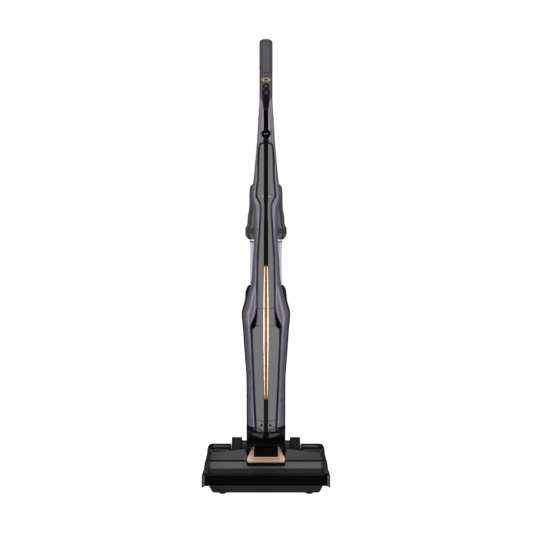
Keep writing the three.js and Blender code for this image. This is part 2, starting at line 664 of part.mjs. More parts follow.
add('clean_tank', cut(
  body(CLEAN_TANK, TANK_FLOOR_Z, CLEAN_TANK_TOP, rear),
  body(CLEAN_TANK, TANK_FLOOR_Z + 3, CLEAN_TANK_TOP - 3, { ...rear, inset: 2.5 }),
  bar('z', 14.3, CLEAN_TANK_TOP - 10, CLEAN_TANK_TOP + 5, [0, FILL_Y, 0]),
  bar('z', 7.3, TANK_FLOOR_Z - 5, TANK_FLOOR_Z + 10, [0, REAR_CENTRE_Y, 0], 16),
), 'clear');
add('clean_tank_cap', bar('z', 14, CLEAN_TANK_TOP - 5, CLEAN_TANK_TOP, [0, FILL_Y, 0]), 'black');
add('clean_tank_valve', bar('z', 7, TANK_FLOOR_Z, TANK_FLOOR_Z + 12, [0, REAR_CENTRE_Y, 0], 16), 'black');
add('clean_tank_latch', box(-12, 12, 112.4, 116.5, 560, 588), 'black');
add('battery_housing', cut(
  body(BATTERY_CASE, 601, BATTERY_TOP, rear),
  body(BATTERY_CASE, 590, BATTERY_TOP - 4, { ...rear, inset: 3.5 }),
), 'smoke');
add('battery_pack', box(-28, 28, 61, 101, 606, 726), 'black');

// ---------------------------------------------------------------- handle and controls

const HANDLE_FRONT_Y = UPRIGHT_Y - HANDLE_RADIUS;
const CAP_Z = 1090;
const POWER_Z = 981;
const MODE_Z = 966.5;
const POWER_RADIUS = 5.5;
const MODE_RADIUS = 7.5;
const RIM = 2.4;
const ACCENT_Z = 997;
const CLEAN_BUTTON_Z = 1010;
const POCKET_Y = 25.8; // back of the flat pocket that the controls sit in

const onHandle = (radius, from, to, z, segments = 20) => bar('y', radius, from, to, [0, 0, z], segments);

function controlOutline(grow, from, to) {
  return join(
    onHandle(POWER_RADIUS + RIM + grow, from, to, POWER_Z),
    onHandle(MODE_RADIUS + RIM + grow, from, to, MODE_Z),
  );
}

function accent(grow, from, to) {
  const half = 11.5 + grow;
  const high = 4.6 + grow;
  return frontProfile([
    [-half + 3, -high], [half - 3, -high], [half, -high / 2], [half, high / 2],
    [half - 3, high], [-half + 3, high], [-half, high / 2], [-half, -high / 2],
  ], from, to).translate(0, 0, ACCENT_Z);
}

function triangle(grow, from, to) {
  return frontProfile([[0, -6 - grow], [5 + grow, 4.5 + grow], [-5 - grow, 4.5 + grow]], from, to)
    .translate(0, 0, CLEAN_BUTTON_Z);
}

add('handle_tube', cut(
  bar('z', HANDLE_RADIUS, HANDLE_Z + GAP, CAP_Z, [0, UPRIGHT_Y, 0], 32),
  bar('z', 8, 0, CAP_Z - 6, [0, UPRIGHT_Y, 0]),
  controlOutline(GAP, -REACH, POCKET_Y),
  accent(GAP, -REACH, POCKET_Y - 1),
  triangle(GAP, -REACH, POCKET_Y - 1),
), 'mauve');

const capProfile = [0, 15, 30, 45, 60, 75].map((degrees) => {
  const angle = THREE.MathUtils.degToRad(degrees);
  return new THREE.Vector2(HANDLE_RADIUS * Math.cos(angle), (TOTAL_HEIGHT - CAP_Z - GAP) * Math.sin(angle));
});
capProfile.push(new THREE.Vector2(0, TOTAL_HEIGHT - CAP_Z - GAP));
const cap = new THREE.LatheGeometry([new THREE.Vector2(0, 0), ...capProfile], 32).rotateX(Math.PI / 2);
add('handle_cap', cap.translate(0, UPRIGHT_Y, CAP_Z + GAP), 'mauve');

add('control_bezel', cut(
  controlOutline(0, HANDLE_FRONT_Y - 0.8, POCKET_Y - GAP),
  onHandle(POWER_RADIUS + GAP, 0, 40, POWER_Z),
  onHandle(MODE_RADIUS + GAP, 0, 40, MODE_Z),
  onHandle(POWER_RADIUS + 1.2, 0, HANDLE_FRONT_Y + 0.4, POWER_Z),
), 'blackGloss');
add('power_button', onHandle(POWER_RADIUS, HANDLE_FRONT_Y - 0.4, 23, POWER_Z), 'black');
add('mode_button', cut(
  onHandle(MODE_RADIUS, HANDLE_FRONT_Y - 1.2, 23, MODE_Z),
  onHandle(POWER_RADIUS + RIM, 0, 40, POWER_Z),
), 'blackGloss');
add('accent_bar', accent(0, HANDLE_FRONT_Y - 1.2, POCKET_Y - 1.3), 'gold');
add('self_clean_button', triangle(0, HANDLE_FRONT_Y - 0.6, 22.6), 'blackGloss');
add('release_button', bar('y', 9.5, frontOf(BUTTON_Z) - 1.2, frontOf(BUTTON_Z) + 5, [0, 0, BUTTON_Z]), 'blackGloss');

export default scene;
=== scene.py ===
"""Cordless wet-and-dry stick vacuum: the finished surfaces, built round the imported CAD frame.

Lengths in the tables below are millimetres in the frame's axes (+Z up, front -Y). MM turns them into metres.
"""
from math import acos, atan2, copysign, cos, pi, radians, sin, sqrt, tan

import bmesh
import bpy
import numpy as np
from mathutils import Matrix, Vector


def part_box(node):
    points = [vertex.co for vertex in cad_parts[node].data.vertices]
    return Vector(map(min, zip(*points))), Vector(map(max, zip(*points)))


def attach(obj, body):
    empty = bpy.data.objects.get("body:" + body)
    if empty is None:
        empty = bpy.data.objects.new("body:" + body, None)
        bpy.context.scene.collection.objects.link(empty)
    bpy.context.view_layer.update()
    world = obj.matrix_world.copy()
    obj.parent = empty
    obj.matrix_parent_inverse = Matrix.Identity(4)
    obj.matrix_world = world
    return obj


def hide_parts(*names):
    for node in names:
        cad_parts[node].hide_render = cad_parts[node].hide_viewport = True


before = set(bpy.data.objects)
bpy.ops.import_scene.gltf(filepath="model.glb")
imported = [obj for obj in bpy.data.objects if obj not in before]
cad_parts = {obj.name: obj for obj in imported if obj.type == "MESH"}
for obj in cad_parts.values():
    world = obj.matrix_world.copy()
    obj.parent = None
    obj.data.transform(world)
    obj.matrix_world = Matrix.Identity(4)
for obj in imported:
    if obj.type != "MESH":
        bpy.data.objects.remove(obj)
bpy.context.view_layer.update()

MM = 0.001
GAP = 0.35  # seam between neighbouring pieces
RELEASE_Z = 863  # height of the round release button


def node_box(name):
    """A CAD node's lowest and highest corners in millimetres."""
    low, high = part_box(name)
    return low / MM, high / MM


# ---------------------------------------------------------------- driving shapes

UPRIGHT_Y = 35  # centre line of the upright's sections
POWER = 2.5  # how square the sections are: 2 is an ellipse
SHELL_TOP = node_box("side_shell_right")[1].z
PANEL_LOW, PANEL_HIGH = (corner.z for corner in node_box("front_panel"))
SEAM_Z = PANEL_LOW - 0.3
SHOULDER_Z = node_box("lower_housing")[1].z
SWIVEL_Z = 140
SWIVEL_TILT = radians(14)  # how far the swivel's axis leans forward
SWIVEL_SLOPE = tan(SWIVEL_TILT)
FOOT_Z = SWIVEL_Z - 14  # sections of the upright begin here, and are moved onto the swivel plane
BLEND_TOP = 175  # from this height up they stay as they are
AXLE_Y, AXLE_Z = 80, 48
CREASE = 38  # degrees: edges sharper than this stay crisp in smooth shading
SIDES = ((-1, "left"), (1, "right"))

# Height, half width, depth in front of the centre line, depth behind it.
SPINE = [
    (100, 46.2, 54, 17), (150, 46.2, 57, 17), (239, 46.4, 63, 17), (300, 49.8, 65, 17),
    (337, 52, 65.5, 17), (375, 54.5, 65, 17), (415, 57.3, 63.5, 17), (440, 50.5, 62, 17),
    (465, 45, 60, 17), (487, 38.6, 58, 17), (552, 33, 53, 17), (600, 29.8, 49, 17),
    (650, 29.5, 46, 17), (676, 29.8, 44, 17), (690, 33, 42.8, 17), (703, 36.3, 41.7, 17),
    (717, 36.3, 40.4, 17), (730, 34.2, 39.2, 17), (743, 32.1, 38, 17), (800, 26.5, 32, 17),
    (847, 22.4, 27, 17), (899, 19.4, 21, 17), (950, 16.3, 16.2, 16.2), (970, 16.2, 16.2, 16.2),
]
HOUSING = [
    (100, 48.6, 40, 43), (150, 49, 40, 45), (239, 49.2, 40, 56), (337, 55.3, 40, 66),
    (375, 57.8, 40, 71), (415, 61, 40, 75), (450, 53.2, 40, 77), (478, 49.5, 40, 77),
    (487, 44.6, 40, 76),
]
REAR_Y = 82  # centre line of the battery housing and the clear tank
BATTERY = [(601, 43.5, 29, 29), (608, 49.4, 29, 30.4), (614, 52, 29, 31), (630, 52, 29, 31),
    (638, 48.4, 29, 30.8), (661, 46.3, 29, 30.3), (676, 43.4, 29, 30), (733, 40.8, 29, 29.4),
    (738, 38.5, 27.5, 27.5), (742, 34, 24, 24),]
CLEAN = [(488, 38, 29, 28), (494, 40, 29, 30), (588, 40, 29, 30), (597, 41, 29, 29.4), (600, 40, 28, 28.4)]
PANEL_EDGE = [
    (434, 22), (500, 21), (552, 20), (601, 17), (645, 14.2), (672, 12.6), (686, 12.9), (700, 18), (709, 22.8),
    (716, 22.9), (750, 19.5), (800, 18.2), (830, 15.8), (838, 13.2), (842, 8),
]
TANK_EDGE = [(100, 23.5), (138, 25), (200, 28), (300, 32), (368, 34.6),
             (378, 34.6), (383, 33.4), (387, 28), (390, 25.4), (398, 24.4), (415, 23.2), (434, 22)]
BAY_EDGE = [(100, 24), (138, 25.5), (200, 28.5), (300, 32.6), (372, 36), (384, 36.8), (391, 35.6),
    (400, 31.6), (410, 27.8), (424, 24.2), (434, 22.4)]
STRIP_EDGE = [(209, 1.2), (210, 2.6), (212, 3.7), (216, 4.5), (230, 5.0), (300, 6), (360, 6.7), (434, 6.6),
    (520, 5.4), (534, 5.0), (536.5, 4.0), (538, 2.0),]


def profile(table, column=1):
    """A smooth curve through a table's points that never overshoots them (monotone cubic)."""
    z = np.array([row[0] for row in table], float)
    v = np.array([row[column] for row in table], float)
    step = np.diff(z)
    slope = np.diff(v) / step
    tangent = np.concatenate([[slope[0]], (slope[:-1] + slope[1:]) / 2, [slope[-1]]])
    for i, rise in enumerate(slope):
        limit = 3 * abs(rise)
        for k in (i, i + 1):
            flat = rise == 0 or tangent[k] * rise < 0
            tangent[k] = 0 if flat else copysign(min(abs(tangent[k]), limit), tangent[k])

    def value(at):
        at = min(max(at, z[0]), z[-1])
        i = min(int(np.searchsorted(z, at, side="right")) - 1, len(step) - 1)
        t = (at - z[i]) / step[i]
        return float(
            (1 + 2 * t) * (1 - t) ** 2 * v[i] + t * (1 - t) ** 2 * step[i] * tangent[i]
            + t * t * (3 - 2 * t) * v[i + 1] + t * t * (t - 1) * step[i] * tangent[i + 1])

    return value


class Section:
    """Rounded-rectangle sections stacked along Z, read from a table."""

    def __init__(self, table, centre=UPRIGHT_Y, power=POWER):
        self.half, self.front, self.back = (profile(table, column) for column in (1, 2, 3))
        self.centre, self.power = centre, power

    def reach(self, depth, x, z, out):
        share = min(abs(x) / (self.half(z) + out), 0.9995)
        return (depth(z) + out) * (1 - share ** self.power) ** (1 / self.power)

    def front_y(self, x, z, out=0.0):
        """Depth of the front face at a sideways place x, moved outward by out."""
        return self.centre - self.reach(self.front, x, z, out)

    def back_y(self, x, z, out=0.0):
        return self.centre + self.reach(self.back, x, z, out)

    def at(self, angle, z, out=0.0):
        """The point at an angle: -90 degrees is the front, 0 the right side, 90 the back."""
        c, s = cos(angle), sin(angle)
        x = copysign(abs(c) ** (2 / self.power), c) * (self.half(z) + out)
        depth = (self.front if s < 0 else self.back)(z) + out
        return Vector((x, self.centre + copysign(abs(s) ** (2 / self.power), s) * depth, z))

    def angle_of(self, x, z, out=0.0):
        """The front angle at which the section is as far sideways as x."""
        share = min(abs(x) / (self.half(z) + out), 1)
        return -acos(share ** (self.power / 2))


spine = Section(SPINE)
housing = Section(HOUSING)
battery = Section(BATTERY, REAR_Y, 4)
clean = Section(CLEAN, REAR_Y, 4)
panel_edge, tank_edge, bay_edge, strip_edge = map(profile, (PANEL_EDGE, TANK_EDGE, BAY_EDGE, STRIP_EDGE))


def swivel_z(y, above=0.6):
    """Height of the tilted swivel plane at depth y."""
    return SWIVEL_Z + above + (y - UPRIGHT_Y) * SWIVEL_SLOPE


def onto_swivel(point):
    """Moves a point below the blend's top, so that the lowest points lie on the swivel plane."""
    if point.z < BLEND_TOP:
        share = (point.z - FOOT_Z) / (BLEND_TOP - FOOT_Z)
        base = swivel_z(point.y)
        point.z = base + share * (BLEND_TOP - base)
    return point


def steps(low, high, spacing, extra=()):
    """Even places from low to high, with some more where the shape needs them."""
    count = max(1, round((high - low) / spacing))
    places = {round(low + (high - low) * i / count, 3) for i in range(count + 1)}
    places |= {e for e in extra if low < e < high}
    ordered = sorted(places)
    return [z for i, z in enumerate(ordered) if i == 0 or z - ordered[i - 1] > 0.25 or z in extra]


# ---------------------------------------------------------------- mesh helpers

def piece(name, shape, body, finish, replaced=None, cut=(), thick=0, edges=None, smooth=None):
    """A piece of the visual model on its CAD body: cut, given its wall and its edges, in that order."""
    obj = loose(*shape, name)
    finishes = finish if isinstance(finish, list) else [finish]
    for one in finishes:
        obj.data.materials.append(one)
    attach(obj, body)
    if replaced:
        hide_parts(replaced)
    if cut:
        subtract(obj, *cut)
    if thick:
        thicken(obj, thick)
    if edges:
        bevel(obj, *edges)
    if smooth:
        smooth_by_angle(obj, smooth)
    return obj


def mesh_from(points, faces):
    """A mesh in metres from points in millimetres. A closed one has its faces turned outward."""
    work = bmesh.new()
    corners = [work.verts.new(Vector(p) * MM) for p in points]
    for face in faces:
        work.faces.new([corners[i] for i in face]).smooth = True
    if all(len(edge.link_faces) == 2 for edge in work.edges):
        bmesh.ops.recalc_face_normals(work, faces=work.faces)
    mesh = bpy.data.meshes.new("m")
    work.to_mesh(mesh)
    work.free()
    return mesh


def grid(rows, closed=False):
    """Points and faces of a sheet through rows of equally many points."""
    count = len(rows[0])
    points = [p for row in rows for p in row]
    faces = []
    for i in range(len(rows) - 1):
        for j in range(count if closed else count - 1):
            a, b = i * count + j, i * count + (j + 1) % count
            faces.append((a, b, b + count, a + count))
    return points, faces


def loft(rows):
    """A closed skin through rings, with its ends capped."""
    points, faces = grid(rows, closed=True)
    count = len(rows[0])
    last = (len(rows) - 1) * count
    faces += [tuple(reversed(range(count))), tuple(range(last, last + count))]
    return points, faces


def bevel(obj, width, segments=3, angle=35):
    """Rounds the edges that are sharper than the angle."""
    mod = obj.modifiers.new("bevel", "BEVEL")
    mod.width = width * MM
    mod.segments = segments
    mod.limit_method = "ANGLE"
    mod.angle_limit = radians(angle)
    smooth_by_angle(obj)


def smooth_by_angle(obj, angle=CREASE):
    """Smooth shading that keeps edges sharper than the angle crisp."""
    mesh = obj.data
    for face in mesh.polygons:
        face.use_smooth = True
    mesh.set_sharp_from_angle(angle=radians(angle))


def thicken(obj, thickness):
    """Gives a sheet a wall on its inner side."""
    mod = obj.modifiers.new("thickness", "SOLIDIFY")
    mod.thickness = thickness * MM
    mod.offset = -1


def subtract(obj, *tools):
    """Cuts shapes, or finished objects, out of a piece for good."""
    boolean(obj, "DIFFERENCE", tools)


def boolean(obj, operation, tools):
    """Applies tools to a piece, one after another, and throws them away."""
    tools = [loose(*tool) if isinstance(tool, tuple) else tool for tool in tools]
    for tool in tools:
        mod = obj.modifiers.new("cut", "BOOLEAN")
        mod.object = tool
        mod.operation = operation
        mod.solver = "EXACT"
        mod.material_mode = "INDEX"
    settle(obj, tools)


def settle(obj, spent):
    """Applies a piece's modifiers to its mesh, and removes the tools that they used."""
    bpy.context.view_layer.update()
    depsgraph = bpy.context.evaluated_depsgraph_get()
    mesh = bpy.data.meshes.new_from_object(obj.evaluated_get(depsgraph), depsgraph=depsgraph)
    obj.modifiers.clear()
    obj.data = mesh
    for tool in spent:
        bpy.data.objects.remove(tool)


def loose(points, faces, name="tool"):
    """A new object, which is a cutting tool until something makes it a piece."""
    obj = bpy.data.objects.new(name, mesh_from(points, faces))
    bpy.context.scene.collection.objects.link(obj)
    return obj


def span(side, near, far):
    """Two sideways places on one side of the part, the lower first."""
    return sorted((side * near, side * far))


def along_axis(axis, a, b, d):
    """A point from its place across an axis (a, b) and its place d along it."""
    return Vector({"x": (d, a, b), "y": (a, d, b), "z": (a, b, d)}[axis])


def prism(outline, axis, low, high):
    """An outline carried along an axis. Outlines are (y, z) for x, (x, z) for y and (x, y) for z."""
    return loft([[along_axis(axis, a, b, d) for a, b in outline] for d in (low, high)])


def block(x0, x1, y0, y1, z0, z1):
    return prism([(x0, y0), (x1, y0), (x1, y1), (x0, y1)], "z", z0, z1)


def around(count):
    """Evenly spread angles round a full turn."""
    return [2 * pi * i / count for i in range(count)]


def circle(radius, centre=(0, 0), count=48):
    return [(centre[0] + radius * cos(a), centre[1] + radius * sin(a)) for a in around(count)]


def oblong(half, low, high):
    """The four corners of an upright rectangle about the centre line."""
    return [(-half, low), (half, low), (half, high), (-half, high)]


def rod(axis, radius, low, high, centre=(0, 0), count=48):
    return prism(circle(radius, centre, count), axis, low, high)


def lathe(outline, axis, centre, count=64, hollow=False):
    """An outline of (radius, along) turned about an axis. A hollow one joins its last point to its first."""
    rows = []
    for radius, d in outline + outline[:1] if hollow else outline:
        around = circle(max(radius, 0.01), count=count)
        rows.append([along_axis(axis, a, b, d) + Vector(centre) for a, b in around])
    if not hollow:
        return loft(rows)
    points, faces = grid(rows[:-1], closed=True)
    last = (len(rows) - 2) * count
    faces += [(last + j, last + (j + 1) % count, (j + 1) % count, j) for j in range(count)]
    return points, faces


def joined(*shapes):
    """Several closed shapes as one list of points and faces."""
    points, faces = [], []
    for more_points, more_faces in shapes:
        base = len(points)
        points += more_points
        faces += [tuple(base + i for i in face) for face in more_faces]
    return points, faces


def rounded(outline, radius, count=6):
    """Rounds an outline's corners; radius is one number or one for each corner."""
    radii = radius if isinstance(radius, (list, tuple)) else [radius] * len(outline)
    result = []
    for i, corner in enumerate(outline):
        here = Vector(corner)
        before = Vector(outline[i - 1]) - here
        after = Vector(outline[(i + 1) % len(outline)]) - here
        reach = min(radii[i], before.length * 0.49, after.length * 0.49)
        if reach < 0.05:
            result.append(tuple(here))
            continue
        a = here + before.normalized() * reach
        b = here + after.normalized() * reach
        for k in range(count + 1):
            t = k / count
            result.append(tuple(a * (1 - t) ** 2 + here * 2 * t * (1 - t) + b * t * t))
    return result


# ---------------------------------------------------------------- materials

class Nodes:
    """A material's node tree, with short calls for the nodes that the finishes share."""

    def __init__(self, name):
        self.material = bpy.data.materials.new(name)
        self.material.use_nodes = True
        self.tree = self.material.node_tree
        self.shader = self.tree.nodes["Principled BSDF"]

    def add(self, kind, **inputs):
        node = self.tree.nodes.new(kind)
        for key, value in inputs.items():
            self.feed(node.inputs[key.replace("_", " ")], value)
        return node

    def feed(self, socket, value):
        if isinstance(value, bpy.types.NodeSocket):
            self.tree.links.new(value, socket)
        else:
            socket.default_value = value

    def set(self, **values):
        for key, value in values.items():
            self.feed(self.shader.inputs[key.replace("_", " ")], value)
        return self

    def place(self):
        """Object-space coordinates in metres."""
        return self.add("ShaderNodeTexCoord").outputs["Object"]

    def noise(self, scale, detail=3.0, roughness=0.5, stretch=None):
        vector = self.place()
        if stretch:
            vector = self.add("ShaderNodeMapping", Vector=vector, Scale=stretch).outputs[0]
        return self.add("ShaderNodeTexNoise", Vector=vector, Scale=scale, Detail=detail,
            Roughness=roughness).outputs["Fac"]

    def ramp(self, value, low, high, out_low, out_high):
        node = self.add("ShaderNodeMapRange", Value=value)
        for key, number in (("From Min", low), ("From Max", high), ("To Min", out_low), ("To Max", out_high)):
            node.inputs[key].default_value = number
        return node.outputs[0]

    def mix(self, fac, a, b):
        node = self.tree.nodes.new("ShaderNodeMix")
        node.data_type = "RGBA"
        self.feed(node.inputs["Factor"], fac)
        self.feed(node.inputs["A"], a)
        self.feed(node.inputs["B"], b)
        return node.outputs["Result"]

    def math(self, operation, *values):
        node = self.tree.nodes.new("ShaderNodeMath")
        node.operation = operation
        for socket, value in zip(node.inputs, values):
            self.feed(socket, value)
        return node.outputs[0]

    def mottle(self, scale, out_low, out_high):
        """Soft patches that vary from one value to another."""
        return self.ramp(self.noise(scale), 0.3, 0.7, out_low, out_high)

    def bump(self, height, strength, distance):
        return self.add("ShaderNodeBump", Height=height, Strength=strength, Distance=distance).outputs[0]

    def worn_edges(self):
        """1 along sharp outer edges and 0 on the faces."""
        return self.ramp(self.tree.nodes.new("ShaderNodeNewGeometry").outputs["Pointiness"], 0.515, 0.56, 0,
            1)


def rgb(red, green, blue):
    return (red, green, blue, 1.0)


def scaled(colour, factor):
    """A colour made paler or darker."""
    return rgb(*(c * factor for c in colour[:3]))


def metallic_paint(name, dark, light, roughness=0.26, coat=0.3, foot=None):
    """Satin metallic paint: fine flakes under a clear coat, with a fade to another colour at the foot."""
    n = Nodes(name)
    flakes = n.add("ShaderNodeTexVoronoi", Vector=n.place(), Scale=2600.0).outputs["Color"]
    tone = n.noise(9.0, 4.0)
    base = n.mix(n.ramp(tone, 0.3, 0.7, 0, 1), dark, light)
    if foot:
        height = n.add("ShaderNodeSeparateXYZ", Vector=n.place()).outputs["Z"]
        base = n.mix(n.ramp(height, 0.952, 1.0, 0, 1), foot, base)
    n.set(
        Base_Color=n.mix(n.worn_edges(), base, scaled(light, 1.35)),
        Roughness=n.mottle(60.0, roughness, roughness + 0.08),
        Metallic=0.4,
        Coat_Weight=coat,
        Coat_Roughness=0.15,
        Normal=n.bump(flakes, 0.015, 0.0001),
    )
    return n.material


def gloss_plastic(name, colour, roughness=0.08, specular=0.5):
    """Polished plastic with faint smears and a slight moulded waviness."""
    n = Nodes(name)
    smear = n.noise(14.0, 5.0, 0.6, (1.0, 1.0, 0.35))
    n.set(
        Base_Color=n.mix(n.ramp(n.noise(5.0), 0.35, 0.65, 0, 1), colour, scaled(colour, 1.3)),
        Roughness=n.ramp(smear, 0.35, 0.7, roughness, roughness + 0.07),
        Specular_IOR_Level=specular,
        Coat_Weight=0.35,
        Coat_Roughness=0.04,
        Normal=n.bump(n.noise(30.0, 2.0), 0.02, 0.0006),
    )
    return n.material


def textured_plastic(name, colour, grain=1500.0, roughness=0.5, depth=0.00012, specular=0.4):
    """Spark-eroded moulded plastic: a fine even grain, slightly paler on the edges."""
    n = Nodes(name)
    grains = n.add("ShaderNodeTexVoronoi", Vector=n.place(), Scale=grain).outputs["Distance"]
    pale = tuple(min(1, c * 2.2 + 0.01) for c in colour[:3]) + (1.0,)
    shade = n.mix(n.mottle(20.0, 0, 0.5), colour, scaled(colour, 1.5))
    n.set(
        Base_Color=n.mix(n.worn_edges(), shade, pale),
        Roughness=n.mottle(45.0, roughness - 0.06, roughness + 0.08),
        Specular_IOR_Level=specular,
        Normal=n.bump(grains, 0.35, depth),
    )
    return n.material


def rubber(name, colour):
    n = Nodes(name)
    dust = n.ramp(n.noise(35.0, 6.0, 0.7), 0.5, 0.75, 0, 0.35)
    n.set(
        Base_Color=n.mix(dust, colour, rgb(0.09, 0.088, 0.085)),
        Roughness=n.mottle(80.0, 0.62, 0.8),
        Specular_IOR_Level=0.3,
        Normal=n.bump(n.noise(900.0, 2.0), 0.25, 0.0002),
    )
    return n.material


def polished_metal(name, colour, deep, roughness=0.16, stretch=(1.0, 1.0, 40.0), metallic=1.0):
    """Plated metal with very fine brushing and a little tarnish."""
    n = Nodes(name)
    brushing = n.noise(260.0, 2.0, 0.5, stretch)
    n.set(
        Base_Color=n.mix(n.ramp(n.noise(22.0, 4.0), 0.35, 0.7, 0, 0.6), colour, deep),
        Roughness=n.ramp(brushing, 0.3, 0.7, roughness, roughness + 0.1),
        Metallic=metallic,
        Normal=n.bump(brushing, 0.03, 0.0002),
    )
    return n.material


def trim_gold():
    """Rose gold that pales toward the lower corners of the U-shaped trim, as a painted highlight."""
    n = Nodes("trim_gold")
    place = n.add("ShaderNodeSeparateXYZ", Vector=n.place())
    # Paler toward the outer parts, palest at the lower outer corners: painted highlights.
    outward = n.ramp(n.math("ABSOLUTE", place.outputs["X"]), 0.030, 0.042, 0, 1)
    low = n.ramp(place.outputs["Z"], 0.064, 0.074, 1, 0)
    brushing = n.noise(260.0, 2.0, 0.5, (1.0, 1.0, 40.0))
    face = n.mix(outward, rgb(0.84, 0.46, 0.27), rgb(0.96, 0.72, 0.56))
    n.set(
        Base_Color=n.mix(n.math("MULTIPLY", outward, low), face, rgb(1.0, 0.9, 0.68)),
        Roughness=n.ramp(brushing, 0.3, 0.7, 0.2, 0.3),
        Metallic=0.1,
        Normal=n.bump(brushing, 0.03, 0.0002),
    )
    return n.material


def smoked(name, colour, transmission, roughness=0.06, coat=0.0):
    """Tinted see-through plastic."""
    n = Nodes(name)
    n.set(
        Base_Color=n.mix(n.mottle(8.0, 0, 0.4), colour, scaled(colour, 0.7)),
        Roughness=n.ramp(n.noise(25.0, 4.0), 0.3, 0.7, roughness, roughness + 0.05),
        Transmission_Weight=transmission,
        Coat_Weight=coat,
        Coat_Roughness=0.04,
        IOR=1.45,
        Normal=n.bump(n.noise(20.0, 2.0), 0.015, 0.0006),
    )
    return n.material


def pile(name, colour, light, scale=700.0):
    """Short dense fibres, in fine spiral bands."""
    n = Nodes(name)
    tufts = n.add("ShaderNodeTexVoronoi", Vector=n.place(), Scale=scale).outputs["Distance"]
    n.set(
        Base_Color=n.mix(n.ramp(tufts, 0.1, 0.7, 1, 0), colour, light),
        Roughness=n.mottle(90.0, 0.85, 0.98),
        Sheen_Weight=0.5,
        Sheen_Roughness=0.4,
        Normal=n.bump(tufts, 0.8, 0.0008),
    )
    return n.material


def glowing(name, colour, strength):
    n = Nodes(name)
    n.set(
        Base_Color=n.mix(n.mottle(300.0, 0, 1), colour, rgb(0.8, 0.8, 0.78)),
        Roughness=n.mottle(90.0, 0.25, 0.35),
        Emission_Color=colour,
        Emission_Strength=strength,
    )
    return n.material


def circuit_board(name):
    """Green solder mask with copper tracks."""
    n = Nodes(name)
    tracks = n.add("ShaderNodeTexBrick", Vector=n.place(), Scale=90.0)
    tracks.inputs["Color1"].default_value = rgb(0.01, 0.10, 0.03)
    tracks.inputs["Color2"].default_value = rgb(0.015, 0.13, 0.04)
    tracks.inputs["Mortar"].default_value = rgb(0.10, 0.30, 0.08)
    n.set(Base_Color=tracks.outputs["Color"], Roughness=n.mottle(120.0, 0.3, 0.5))
    return n.material


MAUVE = metallic_paint("mauve_paint", rgb(0.38, 0.345, 0.415), rgb(0.44, 0.40, 0.48))
# Dark mauve: a painted shade and reflection along the shells' inner edges; also used for the grip's parting
# lines.
MAUVE_DARK = metallic_paint("mauve_inner", rgb(0.06, 0.045, 0.075), rgb(0.08, 0.06, 0.098))
HANDLE_PAINT = metallic_paint("handle_paint", rgb(0.105, 0.095, 0.112), rgb(0.125, 0.114, 0.135), 0.42, 0.08,
                              rgb(0.32, 0.295, 0.345))
BLACK_GLOSS = gloss_plastic("black_gloss", rgb(0.004, 0.004, 0.0045))
PANEL_GLOSS = gloss_plastic("panel_gloss", rgb(0.002, 0.002, 0.0022), specular=0.75)
DECK_GLOSS = gloss_plastic("deck_gloss", rgb(0.004, 0.004, 0.0045), roughness=0.12, specular=0.24)
GRAPHITE = gloss_plastic("graphite_gloss", rgb(0.03, 0.03, 0.031), roughness=0.16)
INK = textured_plastic("deep_black", rgb(0.001, 0.001, 0.0011), 1500.0, 0.6, specular=0.02)
HOUSING_BLACK = textured_plastic("housing_black", rgb(0.014, 0.014, 0.0145), 1300.0, 0.5, 0.0002,
    specular=0.12)
# Near-black grain for the painted shadow under the controls.
CONTROL_SHADE = textured_plastic("painted_control_shade", rgb(0.009, 0.007, 0.011), 1500.0, 0.6, specular=0.1)
BLACK = textured_plastic("black_texture", rgb(0.009, 0.009, 0.0095))
BLACK_SATIN = textured_plastic("black_satin", rgb(0.006, 0.006, 0.0065), 2400.0, 0.32, 0.00006)
CHARCOAL = textured_plastic("charcoal_texture", rgb(0.03, 0.03, 0.031), 1100.0, 0.5, 0.0002)
RUBBER = rubber("black_rubber", rgb(0.012, 0.012, 0.012))
GOLD = polished_metal("rose_gold", rgb(0.76, 0.42, 0.25), rgb(0.68, 0.35, 0.19), 0.26)
# Pale gold: the painted highlight on the light strips' sloping edges.
PALE_GOLD = polished_metal("pale_gold", rgb(1.0, 0.90, 0.72), rgb(0.96, 0.78, 0.56), 0.18)
# Cream: painted highlights, on the bars along the trim's edges and on the accent's rim.
CREAM = polished_metal("cream_gold", rgb(1.0, 0.82, 0.58), rgb(0.98, 0.74, 0.48), 0.25, metallic=0.2)
TRIM_GOLD = trim_gold()
# Bronze: a painted dark reflection in the middle of the light strips and the accent; also the fine lines on
# the trim's arms.
BRONZE = polished_metal("bronze_line", rgb(0.58, 0.37, 0.23), rgb(0.48, 0.28, 0.15), 0.42)
# Sepia: the painted dark reflection at the accent's centre.
SEPIA = textured_plastic("sepia", rgb(0.045, 0.018, 0.008), 1500.0, 0.5)
STEEL = polished_metal("steel", rgb(0.60, 0.60, 0.62), rgb(0.48, 0.48, 0.50), 0.25, (40.0, 1.0, 1.0))
ALLOY = polished_metal("alloy", rgb(0.66, 0.66, 0.67), rgb(0.55, 0.55, 0.57), 0.32, (1.0, 1.0, 30.0))
SMOKE = smoked("smoked_plastic", rgb(0.15, 0.15, 0.16), 0.25)
TANK_SMOKE = smoked("tank_smoke", rgb(0.018, 0.018, 0.020), 0.2, 0.08, 1.0)
CLEAR = smoked("clear_plastic", rgb(0.66, 0.68, 0.70), 1.0, 0.02)
PILE = pile("roller_pile", rgb(0.05, 0.05, 0.055), rgb(0.16, 0.16, 0.17))
FOAM = pile("filter_foam", rgb(0.10, 0.10, 0.11), rgb(0.22, 0.22, 0.23), 400.0)
WINDOW = smoked("window_smoke", rgb(0.05, 0.05, 0.055), 0.3, 0.03)
COLLAR = gloss_plastic("collar_grey", rgb(0.108, 0.108, 0.111), 0.25)
CAP_GREY = textured_plastic("cap_texture", rgb(0.055, 0.055, 0.056), 700.0, 0.55, 0.0003)
MARK = textured_plastic("printed_mark", rgb(0.20, 0.20, 0.20), 900.0, 0.5)
